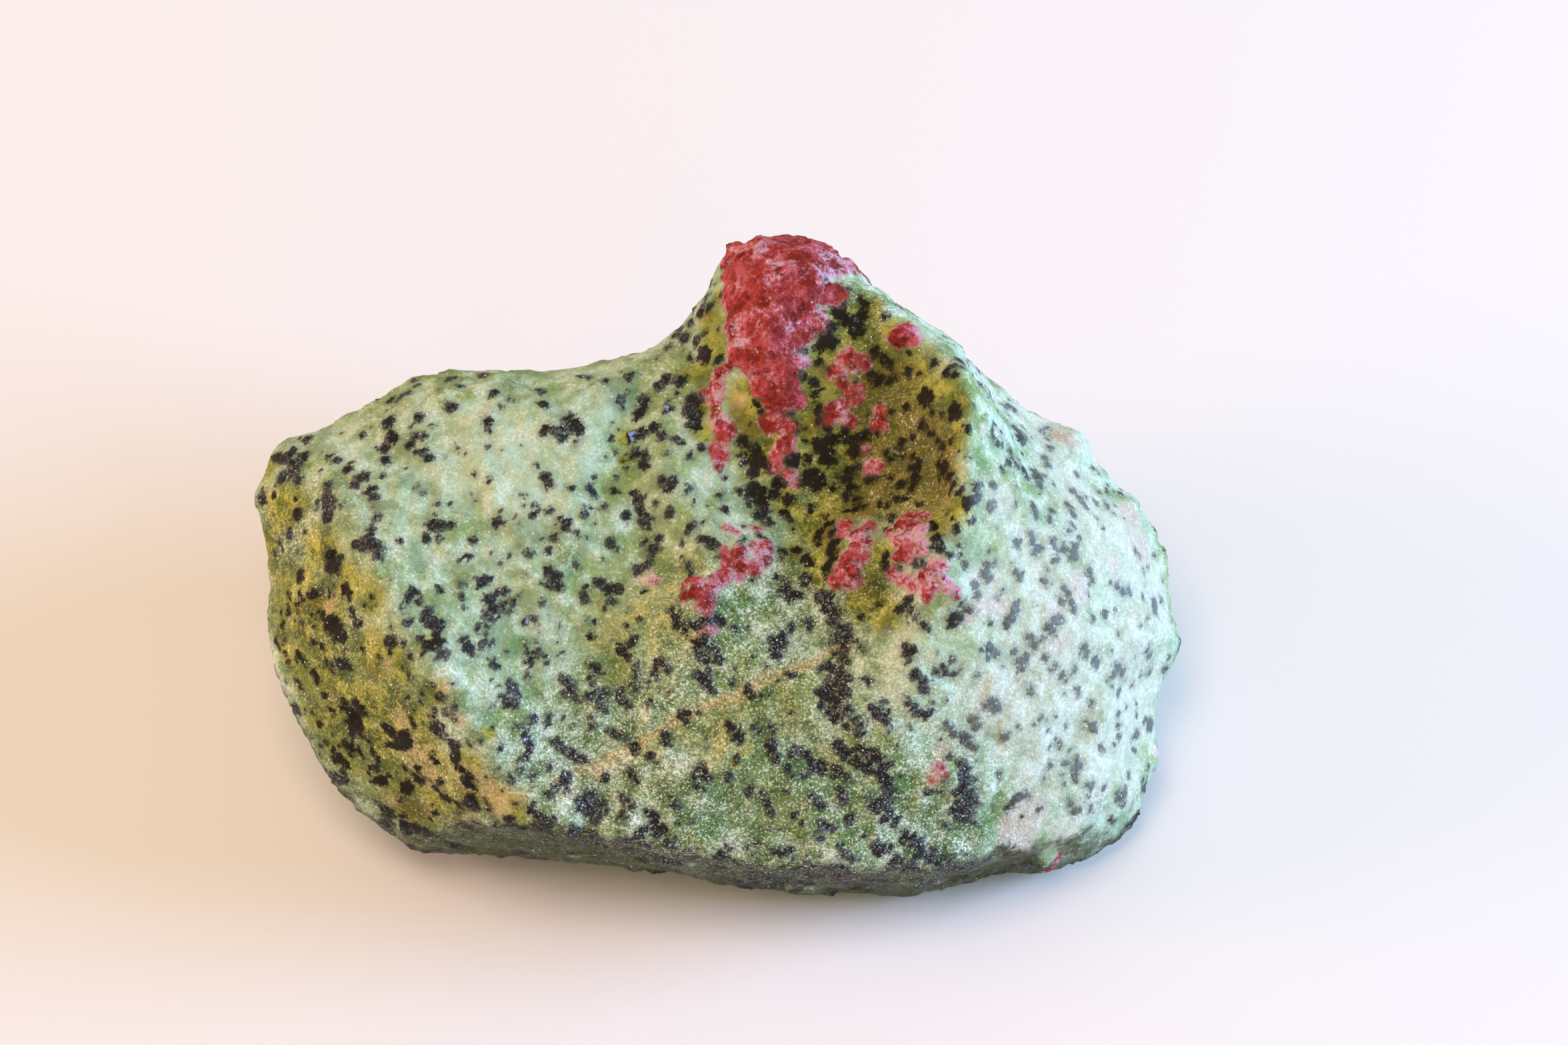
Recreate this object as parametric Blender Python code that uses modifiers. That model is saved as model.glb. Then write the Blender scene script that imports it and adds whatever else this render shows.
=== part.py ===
"""A hand specimen of ruby in zoisite: one broken, slightly worn stone with crusts of ruby standing proud.

The stone is surveyed about its widest section, which leans back as the stone stands. In that section u
runs right, v runs up the lean, and w stands square to it, towards the side that shows best. The rim is the
section's own edge. Crests, valleys and corners on both sides of it are joined by flat facets, as broken
stone is, and the edges are then worn round, roughened, and given their ruby crusts, pits and chips.
Lengths in the tables are millimetres. The model is in metres, +Z up, and stands on its flat underside.
"""

import math

import bmesh
import bpy
from mathutils import Vector, noise
from mathutils.geometry import delaunay_2d_cdt

NAME = "ruby_in_zoisite_stone"
MM = 0.001

LEAN = math.radians(32)  # the widest section's lean from level
SECTION_HEIGHT = 23.0  # its middle, over the surface that the stone stands on

SPACING = 1.0  # of the even mesh that the relief is worked into
TRIANGLES = 9400  # in the finished stone
WEAR_PASSES = 1  # how far the broken edges are worn round
WEAR_SHARE = 0.5  # of the way to its neighbours' middle that a point moves in each pass

CHIP, CHIP_HEIGHT = 8.0, 0.60  # the flats left by breaking: their width, and how far they stand in and out
SCALE, SCALE_HEIGHT = 3.4, 0.22  # the same, of the small scales on them
ROUGH, ROUGH_HEIGHT = 1.9, 0.12  # what the weather has left of the grain
CRYSTAL, CRYSTAL_TIP = 3.0, 0.7  # the ruby's broken crystals: width, and tip as a share of height
SPARE = 0.30  # stock left on all round, which the wear takes off again
CRUST_STEEPNESS = 2.4  # of the ruby's edges, where it stands clear of the softer rock
RAGGED_EDGE = 0.28  # how far noise moves a crust's edge, as a share of its half width
CELLS_APART = 7.3  # a scale that gives each flat a tip of its own
SHOWN_FROM = 0.05  # a surface belongs to the shown side if it faces that way at least this squarely
RAGGED_SCALE = 2.2  # of the noise that moves a crust's edge
PIT_ROUNDNESS = 0.6  # power that turns a pit's depth from a cone to a bowl
RUBY_SHOWS_FROM = 0.3  # the height of crust that counts as ruby
JOIN_WITHIN = 0.01  # corners of the two sides this near each other are one
CORNER_WITHIN = 1e-4  # and within one side, where lines meet
INSIDE_ONLY = 1  # keeps only the triangles inside the rim

ZOISITE_GREEN, ZOISITE_ROUGHNESS = (0.27, 0.38, 0.20), 0.62
RUBY_RED, RUBY_ROUGHNESS = (0.42, 0.06, 0.10), 0.55

# The rim, once round from the left end, over the top.
RIM = [
    (-50.5, 8.2, 1.0), (-49.6, 12.3, 0.0), (-47.2, 14.1, -1.0), (-44.2, 14.5, -1.0), (-40.9, 16.7, -2.0),
    (-37.6, 17.8, -2.0), (-33.5, 20.6, -3.0), (-31.0, 21.2, -3.0), (-25.3, 21.0, -3.0),
    (-19.9, 21.0, -3.0), (-15.6, 21.5, -3.0), (-11.9, 22.3, -3.0), (-8.6, 23.4, -3.0), (-6.0, 24.7, -3.0),
    (-4.0, 26.5, -3.0), (-2.3, 29.1, -3.0), (-0.7, 32.4, -3.0), (1.1, 35.2, -3.0), (3.3, 35.8, -3.0),
    (7.3, 36.0, -4.0), (9.9, 35.4, -4.0), (12.6, 34.2, -4.0), (14.6, 32.6, -4.0), (19.3, 28.2, -4.0),
    (24.5, 25.0, -4.0), (27.2, 22.2, -5.0), (29.9, 19.7, -5.0), (35.2, 15.2, -6.0), (37.2, 14.9, -6.0),
    (39.9, 13.2, -6.0), (40.9, 11.6, -7.0), (45.5, 6.9, -7.0), (48.1, 1.9, -8.0), (49.6, -5.0, -8.0),
    (50.4, -8.6, -8.0), (48.4, -12.6, -8.0), (47.3, -16.3, -7.0), (48.0, -20.3, -7.0),
    (47.2, -24.4, -6.0), (45.2, -28.6, -6.0), (39.9, -31.8, -5.0), (34.9, -33.8, -4.0),
    (31.9, -33.0, -4.0), (27.2, -34.6, -3.0), (21.2, -35.7, -3.0), (11.3, -35.5, -2.0),
    (4.7, -34.8, -2.0), (-2.7, -33.7, -2.0), (-11.9, -32.4, -2.0), (-25.3, -31.6, -2.0),
    (-32.5, -31.0, -2.0), (-38.6, -27.1, -1.0), (-41.8, -23.8, 0.0), (-45.5, -18.0, 1.0),
    (-48.3, -11.4, 1.0), (-49.0, -4.4, 1.0), (-49.3, 1.6, 1.0),
]

# Lines along which facets of the shown side meet.
SHOWN_LINES = {
    "left_ridge": [
        (-43.6, 12.6, 3.0), (-42.2, 9.4, 7.0), (-39.4, 4.3, 11.5), (-36.6, -0.7, 14.5),
        (-34.2, -5.0, 16.5), (-30.9, -9.7, 17.8), (-27.3, -15.1, 18.0), (-24.8, -19.4, 17.0),
        (-22.5, -23.7, 15.2), (-21.2, -26.9, 13.4),
    ],
    "foot_edge": [
        (-32.0, -29.2, 2.5), (-29.7, -28.2, 6.0), (-25.8, -27.3, 10.0), (-21.2, -26.9, 13.4),
        (-15.3, -27.6, 13.6), (-9.4, -29.1, 13.0), (-3.4, -30.4, 12.2), (2.2, -31.4, 11.4),
        (13.2, -31.9, 11.2), (22.0, -31.7, 10.0), (28.0, -30.8, 7.6), (33.0, -30.0, 5.4),
        (38.4, -28.6, 3.0),
    ],
    "left_valley": [
        (-9.4, 18.0, 2.0), (-10.2, 12.2, 5.0), (-8.6, 6.5, 8.5), (-6.8, 1.4, 10.5), (-12.0, -5.8, 13.0),
    ],
    "middle_crest": [
        (-6.8, 20.9, 1.8), (-6.5, 15.1, 5.0), (-5.0, 9.4, 8.5), (-1.4, 3.6, 12.5), (-1.4, -1.4, 15.0),
        (-2.9, -5.0, 15.5), (-3.6, -10.8, 15.2),
    ],
    "main_valley": [
        (-2.5, 27.3, -0.5), (-1.4, 20.9, 2.5), (0.0, 15.1, 5.0), (2.2, 8.6, 7.5), (7.2, 0.7, 11.5),
        (10.1, -5.0, 13.8),
    ],
    "right_ridge": [
        (14.0, 31.0, 0.5), (19.6, 26.6, 5.0), (25.2, 22.3, 9.5), (27.0, 18.0, 13.0), (26.3, 12.2, 15.6),
        (25.9, 7.2, 17.0), (24.4, 2.2, 17.8), (22.9, -2.2, 18.0), (20.9, -5.8, 17.8),
    ],
    "fissure": [
        (-12.6, -19.8, 13.4), (-8.6, -17.4, 13.9), (-5.0, -15.5, 14.2), (-1.4, -13.7, 14.5),
        (2.2, -12.2, 14.7), (5.8, -11.2, 14.8), (9.4, -10.6, 14.8), (12.9, -9.7, 14.9),
        (15.8, -8.3, 15.4), (18.0, -6.5, 16.4),
    ],
    "brow": [
        (-9.4, -20.6, 14.4), (-2.2, -16.9, 15.5), (5.0, -14.8, 16.2), (12.2, -13.9, 16.5),
        (19.4, -12.9, 17.5),
    ],
}

# Single corners and swells of the shown side.
SHOWN_POINTS = [
    # left face
    (-44.6, 3.6, 7.0), (-43.9, -7.2, 8.0), (-38.8, -16.5, 8.5), (-33.1, -23.7, 7.5),
    # left shelf, from its back edge forward
    (-40.0, 14.0, 1.5), (-33.0, 17.5, 2.5), (-25.0, 18.5, 2.5), (-17.0, 18.5, 3.0), (-11.5, 20.0, 2.5),
    (-31.7, 10.8, 7.5), (-23.0, 10.8, 8.0), (-13.5, 13.5, 7.0), (-27.3, 2.2, 11.5), (-16.5, 3.6, 11.5),
    (-21.6, -7.9, 14.5), (-18.7, -18.0, 14.5),
    # peak and the hollow face below it
    (7.2, 32.4, 1.5), (5.0, 28.8, 3.5), (12.2, 28.8, 2.5), (5.0, 22.3, 5.5), (8.6, 18.0, 5.4),
    (15.8, 25.2, 3.2), (18.0, 18.0, 5.4), (15.8, 10.8, 6.9), (21.6, 10.8, 9.4), (15.8, 5.8, 9.4),
    (8.0, 8.0, 7.5),
    # ruby ledge and the hollow under it
    (15.1, 2.2, 13.5), (20.9, 1.4, 16.0), (16.0, -3.6, 14.5),
    # right shoulder
    (30.2, 14.4, 7.0), (31.7, 6.5, 12.0), (28.8, 0.0, 15.5), (26.6, -7.2, 17.0), (37.4, 3.6, 7.5),
    (36.0, -7.2, 12.0), (43.2, 0.0, 2.5), (44.6, -7.2, 2.0), (41.0, -14.4, 5.0), (33.8, -14.4, 12.0),
    (33.8, -21.6, 9.5), (26.6, -21.6, 13.4), (40.3, -23.0, 4.0),
    # front face
    (-13.0, -24.0, 13.2), (-2.2, -23.7, 14.3), (8.6, -23.0, 14.8), (18.0, -23.0, 14.6), (5.0, -28.5, 12.0),
    (15.8, -28.5, 11.6), (24.0, -27.5, 10.5),
]

# The side that is turned away, as the stone stands: x, y and height. Its foot is a little below the surface
# that the stone stands on, so that the cut there leaves a broad flat.
FOOT_DEPTH = -2.0
FOOT = [
    (-33.0, -16.0), (-20.0, -19.5), (-4.0, -20.5), (12.0, -21.5), (24.0, -20.5), (32.0, -16.0),
    (37.0, -7.0), (36.0, 2.0), (30.0, 11.0), (18.0, 18.0), (4.0, 19.0), (-10.0, 16.0), (-24.0, 11.0),
    (-34.0, 4.0), (-37.0, -7.0),
]
HIDDEN_POINTS = [
    (-43.0, 10.0, 15.0), (-32.0, 17.0, 12.0), (-22.0, 21.0, 16.0), (-12.0, 20.0, 10.0), (-3.0, 28.0, 17.0),
    (8.0, 28.0, 12.0), (15.0, 31.0, 20.0), (27.0, 26.0, 14.0), (36.0, 17.0, 12.0), (41.0, 11.0, 8.0),
    (45.5, -5.0, 5.0), (-44.0, -4.0, 12.0), (-38.5, -17.5, 6.0),
]

# Ruby, which wears slower than the green rock and so stands proud of it, as ovals in the section's plane:
# middle u and v, half length, half width, turn in degrees, and height.
RUBY_CRUSTS = [
    (6.2, 31.0, 6.4, 4.4, 0, 1.0),  # cap of the peak
    (4.3, 25.3, 5.4, 4.4, 70, 1.1),
    (5.8, 19.3, 4.0, 2.6, 80, 1.0),
    (7.2, 12.2, 3.6, 1.5, 80, 0.8),
    (0.4, 18.4, 8.0, 1.3, 95, 0.6),  # strip beside it
    (19.8, 25.0, 1.9, 1.6, 0, 0.8),
    (14.2, 21.3, 2.6, 1.5, 50, 0.7),
    (12.8, 16.6, 1.9, 1.5, 0, 0.7),
    (17.6, 11.3, 1.2, 0.9, 0, 0.4),
    (3.2, 1.6, 3.4, 2.8, 0, 1.1),  # middle mass
    (-1.8, -3.2, 3.8, 2.2, 45, 1.0),
    (-2.0, -7.0, 1.4, 1.2, 0, 0.5),
    (14.9, 1.6, 4.0, 1.9, 75, 1.3),  # ledge
    (20.8, 2.6, 3.2, 2.7, 20, 1.3),
    (24.0, -2.2, 3.0, 2.0, -30, 1.2),
    (-7.0, -0.6, 1.5, 1.2, 0, 0.4),
    (23.7, -22.8, 1.7, 1.4, 0, 0.6),
    (38.4, 13.0, 2.6, 1.4, -40, 0.6),
    (46.4, -21.0, 2.2, 1.2, 80, 0.5),
    (35.6, -31.6, 1.6, 1.0, 0, 0.5),
]

# Places where the rock has broken or crumbled out, in the same terms, with their depth.
HOLLOWS = [
    (-39.4, -16.6, 1.9, 1.6, 60, 1.6),
    (-42.5, -3.4, 1.7, 1.3, -30, 1.0),
    (-30.2, -19.0, 1.6, 1.1, 0, 0.9),
    (17.6, -2.6, 3.6, 2.0, 15, 1.1),
    (10.4, -20.6, 3.6, 1.6, -50, 0.7),
    (11.9, -12.6, 3.4, 1.4, 85, 0.8),
    (9.4, 3.6, 2.4, 1.6, 60, 0.8),
    (23.2, 6.4, 3.6, 1.0, 80, 0.7),
]


def standing(u, v, w):
    """A point of the section's frame, as the stone stands, in millimetres."""
    return Vector(
        (
            u,
            v * math.cos(LEAN) - w * math.sin(LEAN),
            v * math.sin(LEAN) + w * math.cos(LEAN) + SECTION_HEIGHT,
        )
    )


def surveyed(x, y, z):
    """The reverse of standing()."""
    rise = z - SECTION_HEIGHT
    return (x, y * math.cos(LEAN) + rise * math.sin(LEAN), rise * math.cos(LEAN) - y * math.sin(LEAN))


def facet_sheet(points, lines):
    """Corners and triangles of one side: the rim's inside, split along the lines and between the points."""
    corners = list(RIM)
    edges = []
    for line in lines:
        start = len(corners)
        corners += line
        edges += [(i, i + 1) for i in range(start, len(corners) - 1)]
    corners += points
    flat = [Vector((u, v)) for u, v, _ in corners]
    rim_loop = list(reversed(range(len(RIM))))
    verts, _, faces, sources, _, _ = delaunay_2d_cdt(flat, edges, [rim_loop], INSIDE_ONLY, CORNER_WITHIN)
    placed = [(p.x, p.y, corners[from_points[0]][2]) for p, from_points in zip(verts, sources)]
    return placed, faces


def blank():
    """The stone as flat facets, closed along its rim."""
    mesh = bmesh.new()
    hidden = [surveyed(*p) for p in HIDDEN_POINTS]
    foot = [surveyed(x, y, FOOT_DEPTH) for x, y in FOOT]
    sides = ((SHOWN_POINTS, SHOWN_LINES.values(), False), (hidden, [foot + foot[:1]], True))
    for points, lines, turned in sides:
        placed, faces = facet_sheet(points, lines)
        verts = [mesh.verts.new(standing(*p) * MM) for p in placed]
        for face in faces:
            order = reversed(face) if turned else face
            mesh.faces.new([verts[i] for i in order])
    bmesh.ops.remove_doubles(mesh, verts=mesh.verts, dist=JOIN_WITHIN * MM)
    bmesh.ops.recalc_face_normals(mesh, faces=mesh.faces)
    return mesh


def in_patch(seat, patch):
    """How deep inside an oval patch a point of the section's plane is: 1 at its middle, 0 at its edge."""
    middle_u, middle_v, half_length, half_width, turn = patch[:5]
    right, up = seat[0] - middle_u, seat[1] - middle_v
    cos, sin = math.cos(math.radians(turn)), math.sin(math.radians(turn))
    return 1 - math.hypot((right * cos + up * sin) / half_length, (up * cos - right * sin) / half_width)


def ruby_height(at, seat):
    """How far the ruby stands out at a point of the shown side, and 0 where there is none."""
    ragged = RAGGED_EDGE * noise.noise(at / RAGGED_SCALE)
    found = 0.0
    for patch in RUBY_CRUSTS:
        rise = (in_patch(seat, patch) + ragged) * CRUST_STEEPNESS
        found = max(found, patch[5] * min(max(rise, 0), 1))
    return found * (1 + CRYSTAL_TIP * flats(at, CRYSTAL, Vector((4.4, 1.7, 6.1))))


def hollow_depth(seat):
    return max(patch[5] * max(in_patch(seat, patch), 0) ** PIT_ROUNDNESS for patch in HOLLOWS)


def flats(at, width, seed):
    """Height over a field of flats of about this width, each tipped its own way."""
    place = at / width + seed
    middle = noise.voronoi(place)[1][0]
    tip = noise.cell_vector(middle * CELLS_APART) * 2 - Vector((1, 1, 1))
    return (place - middle).dot(tip)


def relief(at, seat, shown):
    """How far the surface stands out at a point, over the worn facets, in millimetres."""
    height = SPARE + CHIP_HEIGHT * flats(at, CHIP, Vector((3.1, 0.4, 7.7)))
    height += SCALE_HEIGHT * flats(at, SCALE, Vector((0.9, 5.2, 2.3)))
    height += ROUGH_HEIGHT * noise.noise(at / ROUGH)
    if shown:
        height += ruby_height(at, seat) - hollow_depth(seat)
    return height


def object_from(mesh, name, collection):
    data = bpy.data.meshes.new(name)
    mesh.to_mesh(data)
    mesh.free()
    made = bpy.data.objects.new(name, data)
    collection.objects.link(made)
    return made


def worked(obj):
    """The object's mesh with its modifiers carried out, in place of the object."""
    mesh = bmesh.new()
    mesh.from_object(obj, bpy.context.evaluated_depsgraph_get())
    bpy.data.meshes.remove(obj.data)
    return mesh


def evened(mesh, collection):
    """The same closed shape on an even mesh."""
    obj = object_from(mesh, "evening", collection)
    remesh = obj.modifiers.new("even mesh", "REMESH")
    remesh.mode = "VOXEL"
    remesh.voxel_size = SPACING * MM
    return worked(obj)


def thinned(mesh, collection):
    """The same shape in fewer triangles, spent where it bends most."""
    count = sum(len(face.verts) - 2 for face in mesh.faces)
    obj = object_from(mesh, "thinning", collection)
    decimate = obj.modifiers.new("fewer triangles", "DECIMATE")
    decimate.ratio = TRIANGLES / count
    decimate.use_collapse_triangulate = True
    return worked(obj)


def wear_round(mesh):
    for _ in range(WEAR_PASSES):
        bmesh.ops.smooth_vert(
            mesh, verts=mesh.verts, factor=WEAR_SHARE, use_axis_x=True, use_axis_y=True, use_axis_z=True
        )


def roughen(mesh):
    """Works the relief into the surface, along each point's own normal."""
    facing = standing(0, 0, 1) - standing(0, 0, 0)
    mesh.normal_update()
    moves = []
    for vert in mesh.verts:
        at = vert.co / MM
        shown = vert.normal.dot(facing) > SHOWN_FROM
        moves.append(vert.normal * relief(at, surveyed(*at), shown) * MM)
    for vert, move in zip(mesh.verts, moves):
        vert.co += move


def cut_flat(mesh):
    """Cuts the underside off level at height 0 and closes the cut."""
    everything = mesh.verts[:] + mesh.edges[:] + mesh.faces[:]
    bmesh.ops.bisect_plane(mesh, geom=everything, plane_co=(0, 0, 0), plane_no=(0, 0, 1), clear_inner=True)
    rim = [edge for edge in mesh.edges if edge.is_boundary]
    for vert in {vert for edge in rim for vert in edge.verts}:
        vert.co.z = 0
    bmesh.ops.contextual_create(mesh, geom=rim)
    bmesh.ops.triangulate(mesh, faces=mesh.faces)
    bmesh.ops.recalc_face_normals(mesh, faces=mesh.faces)


def centre(mesh):
    """Moves the stone so that its middle stands over the origin."""
    middles = [(min(v.co[i] for v in mesh.verts) + max(v.co[i] for v in mesh.verts)) / 2 for i in (0, 1)]
    bmesh.ops.translate(mesh, verts=mesh.verts, vec=(-middles[0], -middles[1], 0))


def stone_material(name, colour, roughness):
    material = bpy.data.materials.new(name)
    material.use_nodes = True
    material.diffuse_color = (*colour, 1)
    shader = material.node_tree.nodes["Principled BSDF"]
    shader.inputs["Base Color"].default_value = (*colour, 1)
    shader.inputs["Roughness"].default_value = roughness
    shader.inputs["Metallic"].default_value = 0
    return material


def mark_ruby(mesh):
    """Gives the ruby's faces the second material. It is done before the stone is centred."""
    facing = standing(0, 0, 1) - standing(0, 0, 0)
    for face in mesh.faces:
        at = face.calc_center_median() / MM
        if face.normal.dot(facing) > SHOWN_FROM and ruby_height(at, surveyed(*at)) > RUBY_SHOWS_FROM:
            face.material_index = 1


def main():
    for obj in list(bpy.data.objects):
        bpy.data.objects.remove(obj)
    specimen = bpy.data.collections.new("ruby in zoisite")
    bpy.context.scene.collection.children.link(specimen)
    mesh = evened(blank(), specimen)
    wear_round(mesh)
    roughen(mesh)
    mesh = thinned(mesh, specimen)
    cut_flat(mesh)
    mesh.normal_update()
    mark_ruby(mesh)
    centre(mesh)
    stone = object_from(mesh, NAME, specimen)
    stone.data.materials.append(stone_material("green zoisite", ZOISITE_GREEN, ZOISITE_ROUGHNESS))
    stone.data.materials.append(stone_material("ruby", RUBY_RED, RUBY_ROUGHNESS))


main()
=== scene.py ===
"""The looks of a hand specimen of ruby in zoisite: green zoisite, black hornblende and crusts of ruby."""

import math

import bmesh
import bpy
import numpy as np
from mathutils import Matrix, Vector
from mathutils.bvhtree import BVHTree
from mathutils.kdtree import KDTree


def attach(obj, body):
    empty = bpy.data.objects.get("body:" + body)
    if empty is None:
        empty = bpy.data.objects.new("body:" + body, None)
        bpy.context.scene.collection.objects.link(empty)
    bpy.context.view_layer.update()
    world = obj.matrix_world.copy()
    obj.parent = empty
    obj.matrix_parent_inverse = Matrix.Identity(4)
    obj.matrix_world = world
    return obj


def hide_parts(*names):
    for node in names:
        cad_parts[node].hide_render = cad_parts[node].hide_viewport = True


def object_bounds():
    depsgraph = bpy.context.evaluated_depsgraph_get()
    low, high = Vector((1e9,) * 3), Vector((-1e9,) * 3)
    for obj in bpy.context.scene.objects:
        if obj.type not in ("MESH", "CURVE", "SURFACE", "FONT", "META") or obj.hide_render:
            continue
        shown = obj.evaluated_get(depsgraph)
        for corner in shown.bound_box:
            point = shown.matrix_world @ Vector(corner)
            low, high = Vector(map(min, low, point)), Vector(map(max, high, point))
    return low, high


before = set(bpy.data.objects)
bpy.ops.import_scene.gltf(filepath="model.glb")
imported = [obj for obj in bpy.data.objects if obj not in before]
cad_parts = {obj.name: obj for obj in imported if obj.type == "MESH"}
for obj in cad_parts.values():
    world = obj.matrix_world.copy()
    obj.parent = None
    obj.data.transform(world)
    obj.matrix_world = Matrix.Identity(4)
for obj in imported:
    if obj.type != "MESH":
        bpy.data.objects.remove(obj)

STONE = "ruby_in_zoisite_stone"
MM = 0.001
CAD_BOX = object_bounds()

# The camera sees the stone's widest section square on. The section leans back from level.
LEAN = math.radians(32)
SECTION_MIDDLE = np.array([0.10, 0.24, 23.0])  # mm
SECTION_RIGHT = np.array([1.0, 0.0, 0.0])
SECTION_UP = np.array([0.0, math.cos(LEAN), math.sin(LEAN)])
SECTION_OUT = np.array([0.0, -math.sin(LEAN), math.cos(LEAN)])
LENS, SENSOR = 150.0, 36.0
FRAME_WIDE, FRAME_HIGH = 2352, 1568
PIXELS_PER_MM = 13.85  # at the section
AIM_RIGHT, AIM_UP = 6.86, 4.69  # mm, the frame's middle from the section's
AIM = SECTION_MIDDLE + AIM_RIGHT * SECTION_RIGHT + AIM_UP * SECTION_UP
AWAY = LENS / SENSOR * FRAME_WIDE / PIXELS_PER_MM  # mm from the aim to the camera
EYE = AIM + AWAY * SECTION_OUT

FINE = 0.478  # mm, spacing of the stone's fine mesh
EASING_PASSES, EASING = 3, 0.5  # take the solid's facets out of it
ON_FLOOR = 0.02  # mm, the foot's points lie lower than this
MISSED_BY = 2.0  # mm, how far off the rim a mark may lie


# ---------------------------------------------------------------- marks, by frame pixel: x, y and radius

RUBY = {
    "cap": [
        (1112, 392, 30), (1150, 376, 26), (1190, 378, 26), (1228, 392, 24), (1118, 430, 34), (1165, 425, 40),
        (1210, 430, 34), (1245, 445, 20), (1140, 478, 30), (1180, 480, 32), (1215, 478, 22), (1105, 460, 16),
        (1098, 480, 14), (1112, 505, 20), (1150, 520, 34), (1185, 512, 22), (1128, 540, 22), (1165, 552, 26),
        (1205, 505, 12), (1150, 575, 20), (1105, 530, 16), (1195, 545, 14), (1095, 410, 16), (1215, 500, 8),
        (1104, 372, 18), (1091, 392, 12), (1130, 362, 26), (1165, 360, 30), (1200, 362, 30), (1232, 370, 28),
        (1256, 382, 24), (1276, 396, 16),
    ],
    "tail": [
        (1180, 590, 22), (1160, 605, 18), (1192, 605, 14), (1165, 628, 16), (1185, 640, 12), (1150, 635, 12),
        (1178, 668, 13), (1165, 685, 12), (1165, 700, 9), (1185, 710, 9), (1192, 725, 8), (1150, 585, 14),
    ],
    "strip": [
        (1080, 560, 9), (1076, 580, 10), (1060, 590, 8), (1075, 605, 9), (1074, 622, 9), (1080, 638, 10),
        (1095, 643, 8), (1085, 655, 10), (1075, 675, 9), (1082, 685, 9), (1076, 700, 8), (1092, 552, 8),
    ],
    "face": [
        (1350, 500, 15), (1362, 495, 12), (1345, 512, 12), (1370, 505, 9), (1272, 535, 12), (1262, 560, 9),
        (1280, 548, 8), (1298, 543, 9), (1250, 560, 9), (1263, 575, 9), (1272, 590, 9), (1285, 600, 8),
        (1250, 615, 13), (1262, 608, 10), (1245, 628, 9), (1272, 632, 8), (1318, 618, 8), (1322, 632, 9),
        (1312, 640, 7), (1308, 702, 9), (1316, 700, 8), (1298, 672, 7), (1290, 585, 7),
    ],
    "middle": [
        (1095, 792, 7), (1105, 798, 6), (1135, 793, 7), (1145, 822, 12), (1130, 818, 8), (1150, 838, 10),
        (1110, 830, 10), (1098, 838, 11), (1088, 832, 9), (1112, 850, 10), (1095, 850, 9), (1130, 852, 9),
        (1085, 862, 10), (1075, 872, 11), (1065, 885, 12), (1050, 893, 12), (1040, 890, 11), (1032, 875, 9),
        (1045, 872, 8), (1028, 895, 8), (1055, 905, 9), (1062, 915, 8), (1068, 903, 8), (1060, 943, 7),
        (1072, 945, 5), (1108, 862, 7),
    ],
    "ledge": [
        (1268, 788, 9), (1262, 800, 9), (1282, 800, 12), (1300, 795, 8), (1308, 788, 7), (1288, 815, 13),
        (1300, 812, 8), (1280, 832, 13), (1270, 845, 12), (1292, 835, 9), (1262, 858, 10), (1278, 858, 11),
        (1255, 870, 9), (1272, 873, 9), (1284, 872, 8), (1362, 780, 13), (1378, 778, 12), (1350, 790, 12),
        (1370, 795, 13), (1385, 790, 9), (1335, 800, 8), (1345, 812, 10), (1360, 820, 12), (1350, 835, 11),
        (1380, 815, 8), (1382, 828, 7), (1365, 838, 7), (1340, 860, 8), (1355, 868, 9), (1370, 875, 9),
        (1385, 862, 10), (1400, 855, 11), (1412, 850, 8), (1398, 870, 9), (1415, 870, 8), (1388, 885, 9),
        (1400, 882, 8), (1390, 897, 8), (1422, 880, 8), (1432, 885, 6), (1436, 897, 5), (1375, 882, 6),
    ],
    "specks": [
        (1410, 1150, 6), (1398, 1170, 5), (1418, 1164, 4), (983, 872, 6), (1265, 1313, 6), (1410, 1340, 4),
        (1580, 1298, 8), (1588, 1285, 7), (1592, 1278, 5), (1572, 1306, 7),
    ],
}
# Ruby frost, partly a painted highlight on the sides that catch the light
RUBY_FROST_AND_HIGHLIGHT_MARKS = [
    (1374, 800, 17), (1400, 862, 20), (1350, 860, 14), (1290, 805, 10), (1425, 880, 10), (1240, 385, 18),
    (1255, 395, 16), (1270, 388, 10), (1240, 410, 14), (1225, 405, 12), (1235, 470, 14), (1140, 380, 14),
    (1110, 385, 12), (1165, 395, 14), (1105, 485, 12), (1110, 515, 12), (1205, 535, 12), (1090, 565, 8),
    (1078, 595, 8), (1090, 625, 7), (1150, 830, 14), (1140, 812, 10), (1317, 785, 7), (1385, 800, 12),
    (1390, 820, 10), (1370, 850, 10), (1372, 868, 9), (1395, 800, 8), (1425, 860, 8), (1075, 890, 9),
    (1070, 905, 7), (1258, 612, 8), (1610, 655, 14), (1630, 672, 12), (1592, 648, 8), (1735, 1140, 12),
    (1712, 1130, 10), (985, 868, 12), (970, 860, 9), (1380, 500, 9), (1268, 630, 7),
]
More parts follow.
